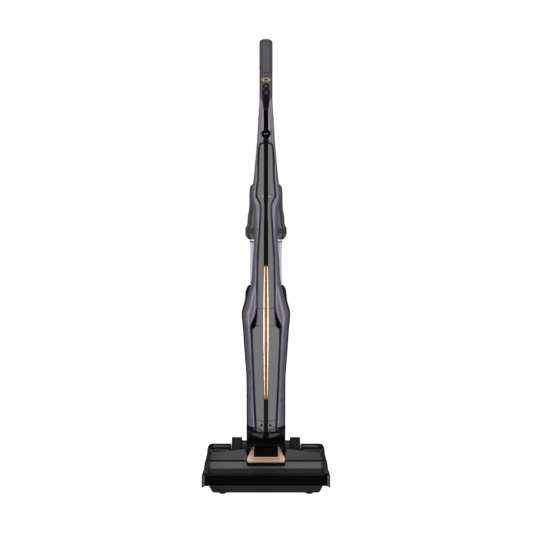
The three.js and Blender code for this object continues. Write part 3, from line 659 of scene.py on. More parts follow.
WHITE = glowing("white_mark", rgb(0.9, 0.9, 0.88), 0.6)
PALE = textured_plastic("pale_plastic", rgb(0.62, 0.62, 0.60), 900.0, 0.4)
BOARD = circuit_board("circuit_board")


# ---------------------------------------------------------------- upright: shells and front panels

FLAT = 5.4  # half width of the flat centre stripe that runs down the front panels
FACET_SLOPE = 0.31  # how fast the panels' side facets fall away
SKIRT_Z = 139  # the shells are black below this height


def edge_x(z):
    """Where a side shell's inner edge runs: along the tank bay, the front panel and the spine's groove."""
    if z < SEAM_Z:
        return bay_edge(z) + GAP
    if z < PANEL_HIGH - 0.5:
        return panel_edge(z) + GAP
    # Above 915 the edge moves out, so the groove widens and the black core shows there as a painted shadow
    # under the controls.
    return 5.0 + 3.5 * max(0.0, (z - 915) / 35) ** 2


def side_shell(side):
    rows = []
    for z in steps(FOOT_Z, SHELL_TOP, 5, (SEAM_Z - 0.3, SEAM_Z, PANEL_HIGH - 0.5, PANEL_HIGH,
            SHOULDER_Z - 0.4, SHOULDER_Z)):
        edge = edge_x(z)
        inner = [
            Vector((edge + across, spine.front_y(edge + across, z, -sink), z))
            for across, sink in ((0.0, 2.8), (1.0, 1.9), (3.2, 0.75), (4.6, 0.05))]
        start = spine.angle_of(edge + 5.6, z)
        back = radians(89.3) if z >= SHOULDER_Z else 0.0
        front = [spine.at(start * (1 - i / 14), z) for i in range(15)]
        rear = [spine.at(back * i / 10, z) for i in range(1, 11)]
        rows.append([onto_swivel(p) for p in inner + front + rear])
    if side < 0:
        rows = [[Vector((-p.x, p.y, p.z)) for p in reversed(row)] for row in rows]
    name = "right" if side > 0 else "left"
    finishes = [MAUVE, MAUVE_DARK, BLACK_GLOSS]
    shell = piece(f"shell_{name}", grid(rows), "upright", finishes, f"side_shell_{name}")
    clean_mesh(shell)
    split_level(shell, SKIRT_Z)
    # Faces next to the inner edge, along the groove and the panel, take the dark mauve as a painted shade and
    # reflection; faces below SKIRT_Z are black.
    for face in shell.data.polygons:
        centre = face.center / MM
        reach = 3.2 if centre.z < PANEL_HIGH + 8 else 1.0
        if centre.z < SKIRT_Z:
            face.material_index = 2
        elif abs(centre.x) < edge_x(centre.z) + reach and centre.y < UPRIGHT_Y:
            face.material_index = 1
    thicken(shell, 2.8)
    bevel(shell, 0.7, 3, 50)


def split_level(obj, z):
    """Cuts the faces that cross a height in two, so that a change of colour there is a clean line."""
    work = bmesh.new()
    work.from_mesh(obj.data)
    bmesh.ops.bisect_plane(
        work, geom=work.verts[:] + work.edges[:] + work.faces[:], plane_co=(0, 0, z * MM), plane_no=(0, 0, 1))
    work.to_mesh(obj.data)
    work.free()


def clean_mesh(obj):
    """Merges points that lie together and drops faces with no area."""
    work = bmesh.new()
    work.from_mesh(obj.data)
    bmesh.ops.remove_doubles(work, verts=work.verts, dist=0.02 * MM)
    bmesh.ops.dissolve_degenerate(work, edges=work.edges, dist=0.02 * MM)
    work.to_mesh(obj.data)
    work.free()


def faceted_row(z, half, out=0.0):
    """One row across a front panel: a flat centre stripe, two straight facets and steep narrow margins."""
    border = min(1.7, half * 0.25)
    inner = half - border
    flat = min(FLAT, inner * 0.4)
    centre_y = spine.front_y(0, z, out)
    inner_y = centre_y + FACET_SLOPE * (inner - flat)
    edge_y = max(spine.front_y(half, z, out), inner_y + 0.3)
    right = [(flat * 0.5, centre_y), (flat - 0.3, centre_y), (flat + 0.3, centre_y + 0.1)]
    right += [(flat + (inner - flat) * t, centre_y + (inner_y - centre_y) * t) for t in (0.15, 0.3, 0.5,
        0.7, 0.85)]
    right += [(inner, inner_y), (inner + border * 0.35, inner_y + 0.35),
        (inner + border * 0.75, inner_y + 1.1), (half, edge_y + 1.3)]
    left = [(-x, y) for x, y in reversed(right)]
    return [Vector((x, y, z)) for x, y in left + [(0, centre_y)] + right]


def front_panel():
    z_steps = steps(PANEL_LOW, PANEL_HIGH - 0.1, 4, (PANEL_HIGH - 1.5, PANEL_HIGH - 3, PANEL_HIGH - 6))
    sheet = grid([faceted_row(z, panel_edge(z)) for z in z_steps])
    piece("panel_upper", sheet, "upright", PANEL_GLOSS, "front_panel", thick=3.2, edges=(0.4, 3, 60))


def light_strip(name, body, low, high, node):
    """A metal channel: pale gold sloping edges as a painted highlight, a golden shoulder each side and a
    bronze middle as a painted dark reflection.
    """
    across = [(-1.0, -1.2), (-1.0, -0.2), (-0.94, 0.1), (-0.6, 0.8), (-0.54, 0.84), (-0.34, 0.76),
        (-0.3, 0.4), (0.3, 0.4), (0.34, 0.76), (0.54, 0.84), (0.6, 0.8), (0.94, 0.1), (1.0, -0.2),
        (1.0, -1.2)]
    rows = []
    for z in steps(low, high, 3, (low + 0.7, low + 1.6, low + 3, high - 0.7, high - 1.6, high - 3)):
        half = strip_edge(z)
        rows.append([Vector((share * half, spine.front_y(0, z, rise), z)) for share, rise in across])
    obj = piece(name, loft(rows), body, [PALE_GOLD, GOLD, BRONZE], node)
    # Front-facing faces near the middle take gold and, nearest the middle, bronze as a painted dark
    # reflection; the rest keep the pale gold highlight.
    for face in obj.data.polygons:
        centre = face.center / MM
        share = abs(centre.x) / strip_edge(centre.z)
        if face.normal.y < -0.4 and share < 0.57:
            face.material_index = 2 if share < 0.32 else 1
    smooth_by_angle(obj, 50)


def indicators():
    for name in ("left", "right"):
        low, high = node_box(f"indicator_{name}")
        centre = (low + high) / 2
        dome = [(0, 2.2), (1.5, 2.2), (1.5, -0.5), (1.25, -1.0), (0.7, -1.3), (0, -1.35)]
        shape = lathe(dome, "y", (centre.x, low.y, centre.z), 24)
        piece(f"indicator_dot_{name}", shape, "upright", WHITE, f"indicator_{name}", smooth=CREASE)


def spine_core():
    """The dark inner spine seen in the groove above the front panel and along the back seam."""
    def ring(z, out):
        return [spine.at(a, z, out) for a in around(72)]

    heights = steps(SHOULDER_Z + 0.3, 950.2, 8)
    piece("core", loft([ring(z, -3.7) for z in heights]), "upright", INK, "spine_core",
        cut=[loft([ring(z, -6.2) for z in steps(SHOULDER_Z + 4, 938, 12)]),
        rod("y", 9.8, -60, spine.front_y(0, RELEASE_Z) + 9, (0, RELEASE_Z))], smooth=CREASE)
    chevron = [(-4.0, 851.2), (0, 848.2), (4.0, 851.2), (4.0, 849.2), (0, 846.0), (-4.0, 849.2)]
    front = spine.front_y(0, 849)
    mark = prism(chevron, "y", front + 0.4, front + 4.6)
    piece("groove_chevron", mark, "upright", GRAPHITE, edges=(0.25,))


# ---------------------------------------------------------------- upright: rear housing, battery, clean tank

def housing_ring(z, inset, swivelled=False):
    """Round the back, then forward inside the side shells and across behind the dirty tank."""
    back = [housing.at(radians(1 + 178 * i / 44), z, -inset) for i in range(45)]
    half = spine.half(z) - 3.4 - inset
    front_y = 18.4 + inset
    side = [(-half, 35.5), (-half * 0.995, 28), (-half * 0.98, front_y + 2), (-half * 0.98 + 2, front_y)]
    turn = side + [(-x, y) for x, y in reversed(side)]
    ring = back + [Vector((x, y, z)) for x, y in turn]
    return [onto_swivel(p) for p in ring] if swivelled else ring


def lower_housing():
    heights = steps(FOOT_Z, SHOULDER_Z - 1.2, 8, (SHOULDER_Z - 6, SHOULDER_Z - 3))
    rows = [housing_ring(z, 0, True) for z in heights]
    rows += [housing_ring(SHOULDER_Z - 0.4, 0.7), housing_ring(SHOULDER_Z, 2.0)]
    slots = []
    for row in range(9):
        for side in (-1, 1):
            slots.append(block(side * 6, side * 30, 60, 130, 330 + row * 9, 333.5 + row * 9))
    inner = loft([housing_ring(z, 4) for z in steps(158, SHOULDER_Z - 4, 12)])
    piece("housing_lower", loft(rows), "upright", HOUSING_BLACK, "lower_housing",
        cut=[inner, joined(*slots), rod("z", 15.8, 100, 150, (0, UPRIGHT_Y))], edges=(0.5, 2, 45))
    for name, height in (("housing_band_upper", 424.0), ("housing_band_lower", 300.0)):
        rows = []
        for out, lift in ((-0.6, -0.9), (0.5, -0.6), (0.5, 0.6), (-0.6, 0.9)):
            z = height + lift
            rows.append([housing.at(radians(3 + 174 * i / 60), z, out) for i in range(61)])
        points, faces = grid(list(zip(*rows)), closed=True)
        ends = [tuple(range(3, -1, -1)), tuple(range(240, 244))]
        piece(name, (points, faces + ends), "upright", CHARCOAL, smooth=CREASE)
    screws("housing_screw", "upright", [(side * 24, housing.back_y(24, z, -0.4), z)
                                       for side in (-1, 1) for z in (190, 462)], "y")


def screws(name, body, places, axis, radius=3.4, facing=1):
    """Countersunk cross-head screws whose heads face along an axis."""
    head = [(0, -2.0), (radius, -2.0), (radius, 0.2), (radius - 0.5, 0.7), (0, 0.9)]
    for i, place in enumerate(places):
        shape = lathe([(r, facing * d) for r, d in head], axis, place, 32)
        tools = []
        for wide, high in ((radius * 1.3, 0.8), (0.8, radius * 1.3)):
            arm = [(-wide / 2, -high / 2), (wide / 2, -high / 2), (wide / 2, high / 2), (-wide / 2, high / 2)]
            points, faces = prism(arm, axis, *sorted((facing * 0.1, facing * 3)))
            tools.append(([p + Vector(place) for p in points], faces))
        piece(f"{name}_{i + 1}", shape, body, STEEL, cut=tools, smooth=CREASE)


def rear_ring(section, z, out=0.0, count=72):
    return [section.at(a, z, out) for a in around(count)]


def battery_housing():
    heights = steps(601.3, 741.9, 4, (608, 614, 632, 637, 640, 733, 737, 740))
    inner = loft([rear_ring(battery, z, -3.4) for z in steps(596, 738, 6, (608, 614, 632, 640))])
    piece("battery_case", loft([rear_ring(battery, z) for z in heights]), "upright", SMOKE, "battery_housing",
        cut=[inner], smooth=30)
    # A darker collar round the flange and a sunk grip panel on the back.
    band = [rear_ring(battery, z, out) for z, out in ((616, -0.3), (616.4, 0.5), (629.6, 0.5), (630, -0.3))]
    piece("battery_collar", grid(band, closed=True), "upright", CHARCOAL, thick=0.8, smooth=CREASE)
    y = REAR_Y + battery.back(690)
    grip = prism(rounded([(-16, 655), (16, 655), (13, 722), (-13, 722)], 5), "y", y - 1.5, y + 1.4)
    piece("battery_grip", grip, "upright", BLACK_SATIN, edges=(0.6,))
    ridges = [block(-10, 10, y + 0.9, y + 2.2, 664 + 7 * i, 666.4 + 7 * i) for i in range(8)]
    piece("battery_grip_ridges", joined(*ridges), "upright", CHARCOAL, edges=(0.35, 2))
    for side, name in SIDES:
        spot = lathe([(0, -1), (2.2, -1), (2.2, 0.6), (1.6, 1.1), (0, 1.2)], "y", (side * 10, y + 1.2, 732),
            24)
        piece(f"battery_contact_{name}", spot, "upright", GOLD, smooth=CREASE)


CAP_Y = 70  # centre of the fill cap


def clean_tank():
    heights = steps(488, 599.8, 6, (490, 494, 588, 593, 597))
    inner = loft([rear_ring(clean, z, -2.4, 96) for z in steps(491.5, 597, 6)])
    outer = loft([rear_ring(clean, z, 0, 96) for z in heights])
    piece("water_tank", outer, "clean_tank", CLEAR, "clean_tank",
        cut=[inner, rod("z", 14.3, 590, 620, (0, CAP_Y)), rod("z", 7.3, 480, 496, (0, REAR_Y))], smooth=30)
    # Frosted rims at the top and bottom, where the two mouldings are welded.
    for name, places in (("tank_rim_top", (594.5, 595, 597, 597.6)),
            ("tank_rim_bottom", (490.6, 491.2, 493.6, 494.2))):
        outs = (-0.2, 0.5, 0.5, -0.2)
        rim = grid([rear_ring(clean, z, out, 96) for z, out in zip(places, outs)], closed=True)
        piece(name, rim, "clean_tank", SMOKE, thick=0.6, smooth=CREASE)
    y = REAR_Y + clean.back(540)
    marks = [block(-wide, wide, y - 0.4, y + 0.4, z, z + 0.9) for z, wide in ((512, 6), (524, 4), (536, 6),
        (548, 4))]
    piece("level_marks", joined(*marks), "clean_tank", PALE, edges=(0.15, 1))
    cap = [(0, 595.2), (13.2, 595.2), (13.9, 596), (13.9, 599.2), (13.2, 600.2), (9, 600.2), (8.4, 599.4),
        (0, 599.4)]
    flutes = [rod("z", 0.7, 595, 602, (13.9 * cos(a), CAP_Y + 13.9 * sin(a)), 10)
              for a in around(30)]
    piece("fill_cap", lathe(cap, "z", (0, CAP_Y, 0)), "clean_tank", BLACK, "clean_tank_cap",
        cut=[joined(*flutes)], smooth=CREASE)
    ridge = prism(rounded(oblong(7.5, 68.4, 71.6), 1.2), "z", 599, 600.9)
    piece("fill_cap_ridge", ridge, "clean_tank", BLACK, edges=(0.3,))
    stem = [(0, 486.6), (3, 486.6), (3, 488), (6.9, 488), (6.9, 492), (5.4, 492.6), (5.4, 498), (2.4, 500),
        (0, 500)]
    piece("outlet_valve", lathe(stem, "z", (0, REAR_Y, 0), 40), "clean_tank", BLACK, "clean_tank_valve",
        smooth=CREASE)
    latch_outline = rounded(oblong(12, 560, 588), 4)
    piece("tank_latch", prism(latch_outline, "y", 112.6, 115.6), "clean_tank_latch", BLACK,
        "clean_tank_latch", edges=(0.8,))
    ribs = [block(-7, 7, 115.2, 116.6, 566 + 4 * i, 567.8 + 4 * i) for i in range(5)]
    piece("tank_latch_ribs", joined(*ribs), "clean_tank_latch", BLACK, edges=(0.3, 2))


# ---------------------------------------------------------------- dirty-water tank

TANK_LID_Z = node_box("dirty_tank")[1].z
TANK_BACK_Y = node_box("dirty_tank")[1].y
STUD_Z = 144.5  # height of the two small studs at the tank's foot


def tank_ring(z, inset=0.0, swivelled=False):
    """The tank's front, as faceted as the panel above it, closed by a flat back with rounded corners."""
    half = tank_edge(z) - inset
    front = faceted_row(z, half, -inset)
    back = TANK_BACK_Y - inset
    corner = [(half, back - 12), (half, back - 3), (half - 0.9, back - 0.9), (half - 3, back)]
    corner += [(-x, y) for x, y in reversed(corner)]
    ring = front + [Vector((x, y, z)) for x, y in corner]
    return [onto_swivel(p) for p in ring] if swivelled else ring


def dirty_tank():
    heights = steps(FOOT_Z, TANK_LID_Z, 5, (366, 372, 378, 382, 385, 387.5))
    inner = loft([tank_ring(z, 2.8) for z in steps(150, TANK_LID_Z - 3, 8, (372, 380))])
    piece("tank_body", loft([tank_ring(z, 0, True) for z in heights]), "dirty_tank", TANK_SMOKE, "dirty_tank",
        cut=[inner, rod("z", 9.6, 100, 170, (0, 4))], edges=(0.5, 2, 55))
    heights = steps(TANK_LID_Z + 0.3, SEAM_Z - 0.3, 4, (392, 394, 396, 398, SEAM_Z - 1))
    piece("tank_lid", loft([tank_ring(z) for z in heights]), "dirty_tank", PANEL_GLOSS, "dirty_tank_lid",
        edges=(0.5, 2, 55))
    # Moulded arcs and two small studs at the foot of the tank.
    for name, height, half, drop in (("tank_arc_upper", 157, 22, 2.5), ("tank_arc_lower", 139.5, 20, 8.0)):
        points = [(half * i / 24, height - drop * (1 - (i / 24) ** 2)) for i in range(-24, 25)]
        rib(name, "dirty_tank", points, 0.8, 0.2, TANK_SMOKE)
    for i, x in enumerate((-11, 11)):
        y = spine.front_y(x, STUD_Z) - 0.2
        drop = lathe([(0, 1.6), (2.8, 1.6), (2.8, 0.1), (1.96, -0.6), (0, -0.9)], "y", (x, y, STUD_Z), 28)
        piece(f"tank_stud_{i + 1}", drop, "dirty_tank", INK, smooth=CREASE)


def rib(name, body, points, width, proud, finish):
    """A slim raised line over the upright's front, through (x, z) points."""
    rows = []
    for x, z in points:
        rows.append([
            Vector((x, spine.front_y(x, z + dz, out), z + dz))
            for dz, out in ((-width, -0.5), (-width * 0.6, proud), (width * 0.6, proud), (width, -0.5))])
    piece(name, loft(rows), body, finish, smooth=CREASE)


def tank_insides():
    """Pleats over the filter, and a float over the intake pipe, with the pipe."""
    low, high = node_box("dirty_tank_filter")
    pleats = []
    count = 11
    for i in range(count):
        x = low.x + (high.x - low.x) * (i + 0.5) / count
        half = (high.x - low.x) / count * 0.36
        pleats.append(block(x - half, x + half, low.y + 0.6, high.y - 0.6, low.z + 1, high.z - 4))
    frame_top = block(low.x, high.x, low.y, high.y, high.z - 5, high.z - 0.2)
    piece("tank_filter", joined(frame_top, *pleats), "dirty_tank", FOAM, "dirty_tank_filter", edges=(0.6, 2))
    low, high = node_box("float_valve")
    centre = (low + high) / 2
    body = [(0, low.z), (5.4, low.z), (6.8, low.z + 1.6), (6.8, high.z - 1.6), (5.4, high.z), (0, high.z)]
    piece("float_ball", lathe(body, "z", (0, centre.y, 0), 40), "float_valve", PALE, "float_valve",
        smooth=CREASE)
    low, high = node_box("intake_pipe")
    wall = [(9.1, low.z), (9.1, high.z - 0.6), (8.6, high.z), (7.9, high.z), (7.5, high.z - 0.6),
        (7.5, low.z)]
    piece("tank_pipe", lathe(wall, "z", (0, (low.y + high.y) / 2, 0), 48, True), "dirty_tank", SMOKE,
        "intake_pipe", smooth=CREASE)


side_shell(1)
side_shell(-1)
front_panel()
light_strip("strip_upper", "upright", PANEL_LOW, 538, "light_strip_upper")
light_strip("strip_lower", "dirty_tank", 209, SEAM_Z - 0.3, "light_strip_lower")
indicators()
spine_core()
lower_housing()
battery_housing()
clean_tank()
dirty_tank()
tank_insides()

# ---------------------------------------------------------------- neck

HUB_RADIUS = 36
NECK_HALF = 47.1
NECK_FRONT = profile([(12.5, 76), (16, 62), (26, 45), (43, 20), (57, 0), (62, -3.2), (66, -3.5), (90, -3.5),
    (94, -4.4), (123, -20.8), (129, -22.8), (135, -23), (160, -23)])
NECK_BACK = profile([(12.5, 84), (14, 91), (18, 99.8), (24, 106.8), (32, 112.2), (40, 115.1), (48, 116),
    (55, 115.3), (61, 112.2), (104, 87), (111, 84.4), (120, 84), (160, 84)])
NECK_BLEND_Z = 104  # above here the sections lean over to meet the swivel plane


def neck_point(x_share, front, z, out=0.0):
    """A point on the neck: sideways share of the half width, front or back, at a nominal height."""
    low_y, high_y = NECK_FRONT(z) - out, NECK_BACK(z) + out
    centre, depth = (low_y + high_y) / 2, (high_y - low_y) / 2
    reach = depth * (1 - min(abs(x_share), 1) ** 4) ** 0.25
    y = centre - reach if front else centre + reach
    if z > NECK_BLEND_Z:
        share = (z - NECK_BLEND_Z) / (SWIVEL_Z - NECK_BLEND_Z)
        z = NECK_BLEND_Z + share * (swivel_z(y, -0.8) - NECK_BLEND_Z)
    wider = 1.9 * min(1, max(0, (z - 88) / 8))
    return Vector((x_share * (NECK_HALF + wider + out), y, z))


def neck_ring(z, out=0.0):
    angles = [pi * i / 32 for i in range(33)]
    front = [neck_point(-copysign(abs(cos(a)) ** 0.5, cos(a)), True, z, out) for a in angles]
    back = [neck_point(copysign(abs(cos(a)) ** 0.5, cos(a)), False, z, out) for a in angles[1:-1]]
    return front + back


def neck():
    heights = [12.5, 13.2, 14.5, 16.5, 19, 22, 26, 31, 37, 43, 50, 55, 59, 62, 66]
    heights += steps(70, SWIVEL_Z, 4, (92, 94))
    piece("neck_body", loft([neck_ring(z) for z in heights]), "neck", BLACK_SATIN, "neck_shell",
        cut=[loft([neck_ring(z, -4) for z in steps(68, 112, 5)]), tilted(rod("z", 16.6, -18, 8)),
        rod("x", 4.3, -80, 80, (AXLE_Y, AXLE_Z)), swept(HOSE_PATH, 13.6)], edges=(0.5, 2, 50))
    # Pivot discs at both ends of the hub, with a stepped face.
    for side, name in SIDES:
        face = [(4.4, 36), (HUB_RADIUS - 1.5, 36), (HUB_RADIUS, 37.5), (HUB_RADIUS, 44.4),
            (HUB_RADIUS - 1.2, 45.8), (26, 45.8), (25, 44.8), (14, 44.8), (13, 45.9), (4.4, 45.9)]
        disc = lathe([(r, side * d) for r, d in face], "x", (0, AXLE_Y, AXLE_Z), 72, True)
        piece(f"pivot_disc_{name}", disc, "neck", BLACK, smooth=CREASE)
    neck_collar()
    plate_outline = rounded(oblong(29.5, 66.5, 94), [5, 5, 2, 2])
    plate = prism(plate_outline, "y", -5.6, -1.0)
    piece("neck_plate", plate, "neck", BLACK_GLOSS, "neck_front_cover", edges=(1.0, 4))
    hose = swept(HOSE_PATH, 13, 10.5, ribbed=True)
    piece("hose", hose, "neck", RUBBER, "neck_hose", smooth=60)


def tilted(shape):
    """Turns a shape about the swivel so that its Z axis lies along the swivel's axis."""
    turn = Matrix.Rotation(SWIVEL_TILT, 3, "X")
    points, faces = shape
    return [turn @ p + Vector((0, UPRIGHT_Y, SWIVEL_Z)) for p in points], faces


HOSE_PATH = [(0, 16, 50), (0, 24, 70), (0, 34, 94), (0, 37, 119)]


def swept(path, radius, bore=0.0, ribbed=False):
    """A round bar, or a hose with fine ribs, along a smooth path."""
    knots = [Vector(p) for p in path]
    padded = [2 * knots[0] - knots[1]] + knots + [2 * knots[-1] - knots[-2]]
    spots = []
    for i in range(len(knots) - 1):
        a, b, c, d = padded[i:i + 4]
        for k in range(14):
            t = k / 14
            bend = (2 * a - 5 * b + 4 * c - d) * t * t + (3 * b - a - 3 * c + d) * t ** 3
            spots.append(0.5 * (2 * b + (c - a) * t + bend))
    spots.append(knots[-1])
    rings = []
    for i, spot in enumerate(spots):
        along = (spots[min(i + 1, len(spots) - 1)] - spots[max(i - 1, 0)]).normalized()
        across = Vector((1, 0, 0))
        up = along.cross(across)
        rings.append((spot, across, up, 0.5 * cos(pi * i) if ribbed else 0.0))

    def ring(spot, across, up, r):
        return [spot + across * (r * cos(a)) + up * (r * sin(a))
                for a in around(40)]

    outer = [ring(spot, across, up, radius - 0.5 + wave if ribbed else radius)
        for spot, across, up, wave in rings]
    if not bore:
        return loft(outer)
    inner = [ring(spot, across, up, bore) for spot, across, up, _ in rings]
    loop = outer + inner[::-1]
    points, faces = grid(loop, closed=True)
    last = (len(loop) - 1) * 40
    faces += [(last + j, last + (j + 1) % 40, (j + 1) % 40, j) for j in range(40)]
    return points, faces


def collar_band(name, body, low_x, high_x, levels, surface, finish):
    """A rounded band across the front between two curved levels."""
    rows = []
    for share, out in ((0, -3.0), (0.02, 0.2), (0.12, 0.8), (0.5, 1.1), (0.88, 0.8), (1, 0.2)):
        row = []
        for i in range(17):
            x = low_x + (high_x - low_x) * i / 16
            bottom, top = levels(x)
            row.append(surface(x, bottom + (top - bottom) * share, out))
        rows.append(row)
    piece(name, grid(rows), body, finish, thick=1.8, edges=(0.3, 2, 60))


def neck_collar():
    """The curved collar round the swivel, half on the neck and half on the tank: pale wings, black middle."""
    neck_half, tank_half = 29.5, 23

    def neck_levels(x):
        return 122 - 10 * (1 - (x / neck_half) ** 2), 138.5

    def tank_levels(x):
        return swivel_z(-20) + 1.0, 137.5 - 8.5 * (1 - (x / 24) ** 2)

    def on_neck(x, z, out):
        face = neck_point(x / NECK_HALF, True, SWIVEL_Z, out + 0.4)
        return Vector((x, face.y, min(z, swivel_z(face.y, -0.9))))

    def on_tank(x, z, out):
        return Vector((x, spine.front_y(x, z, out + 0.2), z))

    for name, low_x, high_x, finish in (("left", -1, -0.27, COLLAR), ("middle", -0.25, 0.25, BLACK_GLOSS),
                                        ("right", 0.27, 1, COLLAR)):
        collar_band(f"neck_collar_{name}", "neck", low_x * neck_half, high_x * neck_half, neck_levels,
            on_neck, finish)
        collar_band(f"tank_collar_{name}", "dirty_tank", low_x * tank_half, high_x * tank_half, tank_levels,
            on_tank, finish)


def swivel():
    wall = [(12.5, -13.8), (12.5, 3.4), (13, 3.9), (15, 3.9), (15.5, 3.4), (15.5, -3), (14.9, -3.4),
        (14.9, -5), (15.5, -5.4), (15.5, -13.8)]
    piece("swivel_sleeve", tilted(lathe(wall, "z", (0, 0, 0), 64, True)), "upright", STEEL, "swivel_ring",
        smooth=CREASE)


# ---------------------------------------------------------------- floor head

HEAD_HALF = 149
DECK_FRONT_Y = -49.2
RIM_Y = 38  # the deck's raised rear rim begins here
RIM_X = 137  # and its raised side rims here
DECK_SLOPE = profile([(DECK_FRONT_Y, 62.5), (-30, 66.7), (-6, 72), (6, 74.2), (14, 75), (34, 76.6), (60, 77)])
REAR_ROUND = profile([(40, 0), (50, 0.3), (54, 1.4), (57, 4), (59, 8), (60, 12)])


def deck_height(x, y):
    """The deck's surface: a slope inside a raised rim that is rounded over at the back."""
    rear = min(1.0, max(0.0, (y - RIM_Y + 2.5) / 4))
    side = min(1.0, max(0.0, (abs(x) - RIM_X + 1.2) / 2.4))
    lift = max(9.2 * rear, (1.2 + 3.8 * max(0.0, y + 20) / 60) * side if y > -49 else 0.0)
    return DECK_SLOPE(y) + lift - REAR_ROUND(y)


def top_cover():
    rows = []
    ys = steps(DECK_FRONT_Y, 60, 5, (RIM_Y - 2.5, RIM_Y - 0.5, RIM_Y + 1.5, 50, 52, 54, 56, 57.5, 58.7, 59.5))
    half_places = [0, 24, 48, 60, 75, 90, 105, 120, 130, 134, RIM_X - 1.4, RIM_X, RIM_X + 1.2, 139.5, 141.5,
        143.5, 145]
    half_places += [146.4, 147.5, 148.3, 148.8, 149.3]
    for x in [-p for p in reversed(half_places[1:])] + half_places:
        edge = max(0.0, (abs(x) - 137) / 12)
        ring = []
        for y in ys:
            back = min(1.0, max(0.0, (y - DECK_FRONT_Y) / 60))
            drop = (1 - sqrt(max(0.0, 1 - edge ** 2.2))) * (4 + 10 * back)
            wide = 1.0 - 0.008 * back
            ring.append(Vector((x * wide, y - 9 * edge ** 3 * max(0.0, (y - 20) / 40),
                deck_height(x, y) - drop)))
        back_y = ring[-1].y
        ring += [Vector((ring[-1].x, back_y, 44.5)), Vector((ring[0].x, DECK_FRONT_Y, 44.5))]
        rows.append(ring)
    well = rounded(oblong(88, 29.5, 160), [9, 9, 0, 0])
    notch = rounded(oblong(48, -6.5, 60), 4)
    piece("deck", loft(rows), "head", BLACK_GLOSS, "head_top_cover",
        cut=[prism(well, "z", 0, 120), prism(notch, "z", 0, 120)], edges=(0.5, 2, 50))
    # Graphite panels let into the slope either side of the neck, each with a slanted rear edge.
    for side, name in SIDES:
        outline = [(side * 51, -44), (side * 135, -44), (side * 135, -2), (side * 52, 18)]
        plate = deck_patch(rounded(outline, 2.5), -3.0, 0.45)
        piece(f"deck_panel_{name}", plate, "head", DECK_GLOSS, edges=(0.3, 2))
        seam = [(side * 48, -48.9), (side * 136, -48.9), (side * 136, -44.3), (side * 48, -44.3)]
        piece(f"deck_seam_{name}", deck_patch(seam, -1.0, 0.3), "head", INK)
    # A fine bright line just inside the rear rim.
    line = [block(*span(side, 91, 133), RIM_Y - 3.0, RIM_Y - 2.0, 80, 83.4) for side in (-1, 1)]
    piece("deck_line", joined(*line), "head", STEEL, edges=(0.2, 1))
    hump()


def deck_patch(outline, low, high):
    """A flat plate that carries the deck's front slope on, from below to above it."""
    return loft([[Vector((x, y, 62.5 + 0.221 * (y - DECK_FRONT_Y) + d)) for x, y in outline]
        for d in (low, high)])


HUMP_FRONT_Y, HUMP_FRONT_Z, HUMP_TOP_Z = -62, 60.5, 90
TRIM_SLOPE = atan2(HUMP_TOP_Z - HUMP_FRONT_Z, -12 - HUMP_FRONT_Y)


def hump():
    """The raised block in front of the neck; its sloping face carries the metal trim."""
    rows = []
    for z in [45, 50, 55, 58] + steps(HUMP_FRONT_Z, HUMP_TOP_Z, 2.5, (87, 88.5, 89.5)):
        half = 46.5 - max(0.0, z - 69) * 0.64
        front = HUMP_FRONT_Y + max(0.0, z - HUMP_FRONT_Z) / tan(TRIM_SLOPE)
        top = max(0.0, z - 87) * 0.5
        outline = [(-half + top, -8), (-half + top, front + top), (half - top, front + top), (half - top, -8)]
        rows.append([Vector((x, y, z)) for x, y in rounded(outline, [0.5, 9, 9, 0.5], 8)])
    piece("hump", loft(rows), "head", INK, cut=[on_slope(trim_outline(0.4), -1.6, 14)], edges=(0.5, 2, 50))


def on_slope(outline, low, high):
    """A plate parallel to the hump's sloping face: outline (x, distance up the slope)."""
    turn = Matrix.Rotation(TRIM_SLOPE, 3, "X")
    return loft([[turn @ Vector((x, v, d)) + Vector((0, HUMP_FRONT_Y, HUMP_FRONT_Z)) for x, v in outline]
        for d in (low, high)])


def trim_outline(grow):
    right = [(41, 1 - grow), (46 + grow, 6), (46 + grow, 14), (33 + grow, 55 + grow),
        (29.8 - grow, 55 + grow), (29.8 - grow, 21), (26, 18.5 + grow)]
    return right + [(-x, v) for x, v in reversed(right)]


def trim():
    """The U-shaped trim: a broad bevelled bar with two tapering arms."""
    outline = rounded(trim_outline(0), [5, 5, 4, 0.5, 0.5, 3, 3, 3, 3, 0.5, 0.5, 4, 5, 5], 5)
    piece("u_trim", on_slope(outline, -1.4, 2.2), "head", TRIM_GOLD, "neck_trim", edges=(1.5, 3, 40))
    # Cream bars along the bar's top and bottom edges: painted highlights.
    for name, low, high, half in (("upper", 15.2, 17.6, 29), ("lower", 2.0, 5.4, 40)):
        ridge = rounded([(-half, low), (half, low), (half - 2, high), (-half + 2, high)], 1.0)
        piece(f"u_trim_ridge_{name}", on_slope(ridge, 1.6, 2.9), "head", CREAM, edges=(0.6, 3))
    # Fine lines up both arms.
    lines = []
    for side in (-1, 1):
        for k in range(4):
            x0, x1 = 32.5 + k * 3.0, 31.0 + k * 0.55
            line = [(side * x0, 23), (side * (x0 + 0.7), 23), (side * (x1 + 0.35), 52), (side * x1, 52)]
            lines.append(on_slope(line, 1.8, 2.45))
    piece("u_trim_lines", joined(*lines), "head", BRONZE)


ROLLER_Y, ROLLER_Z = -88, 25.5


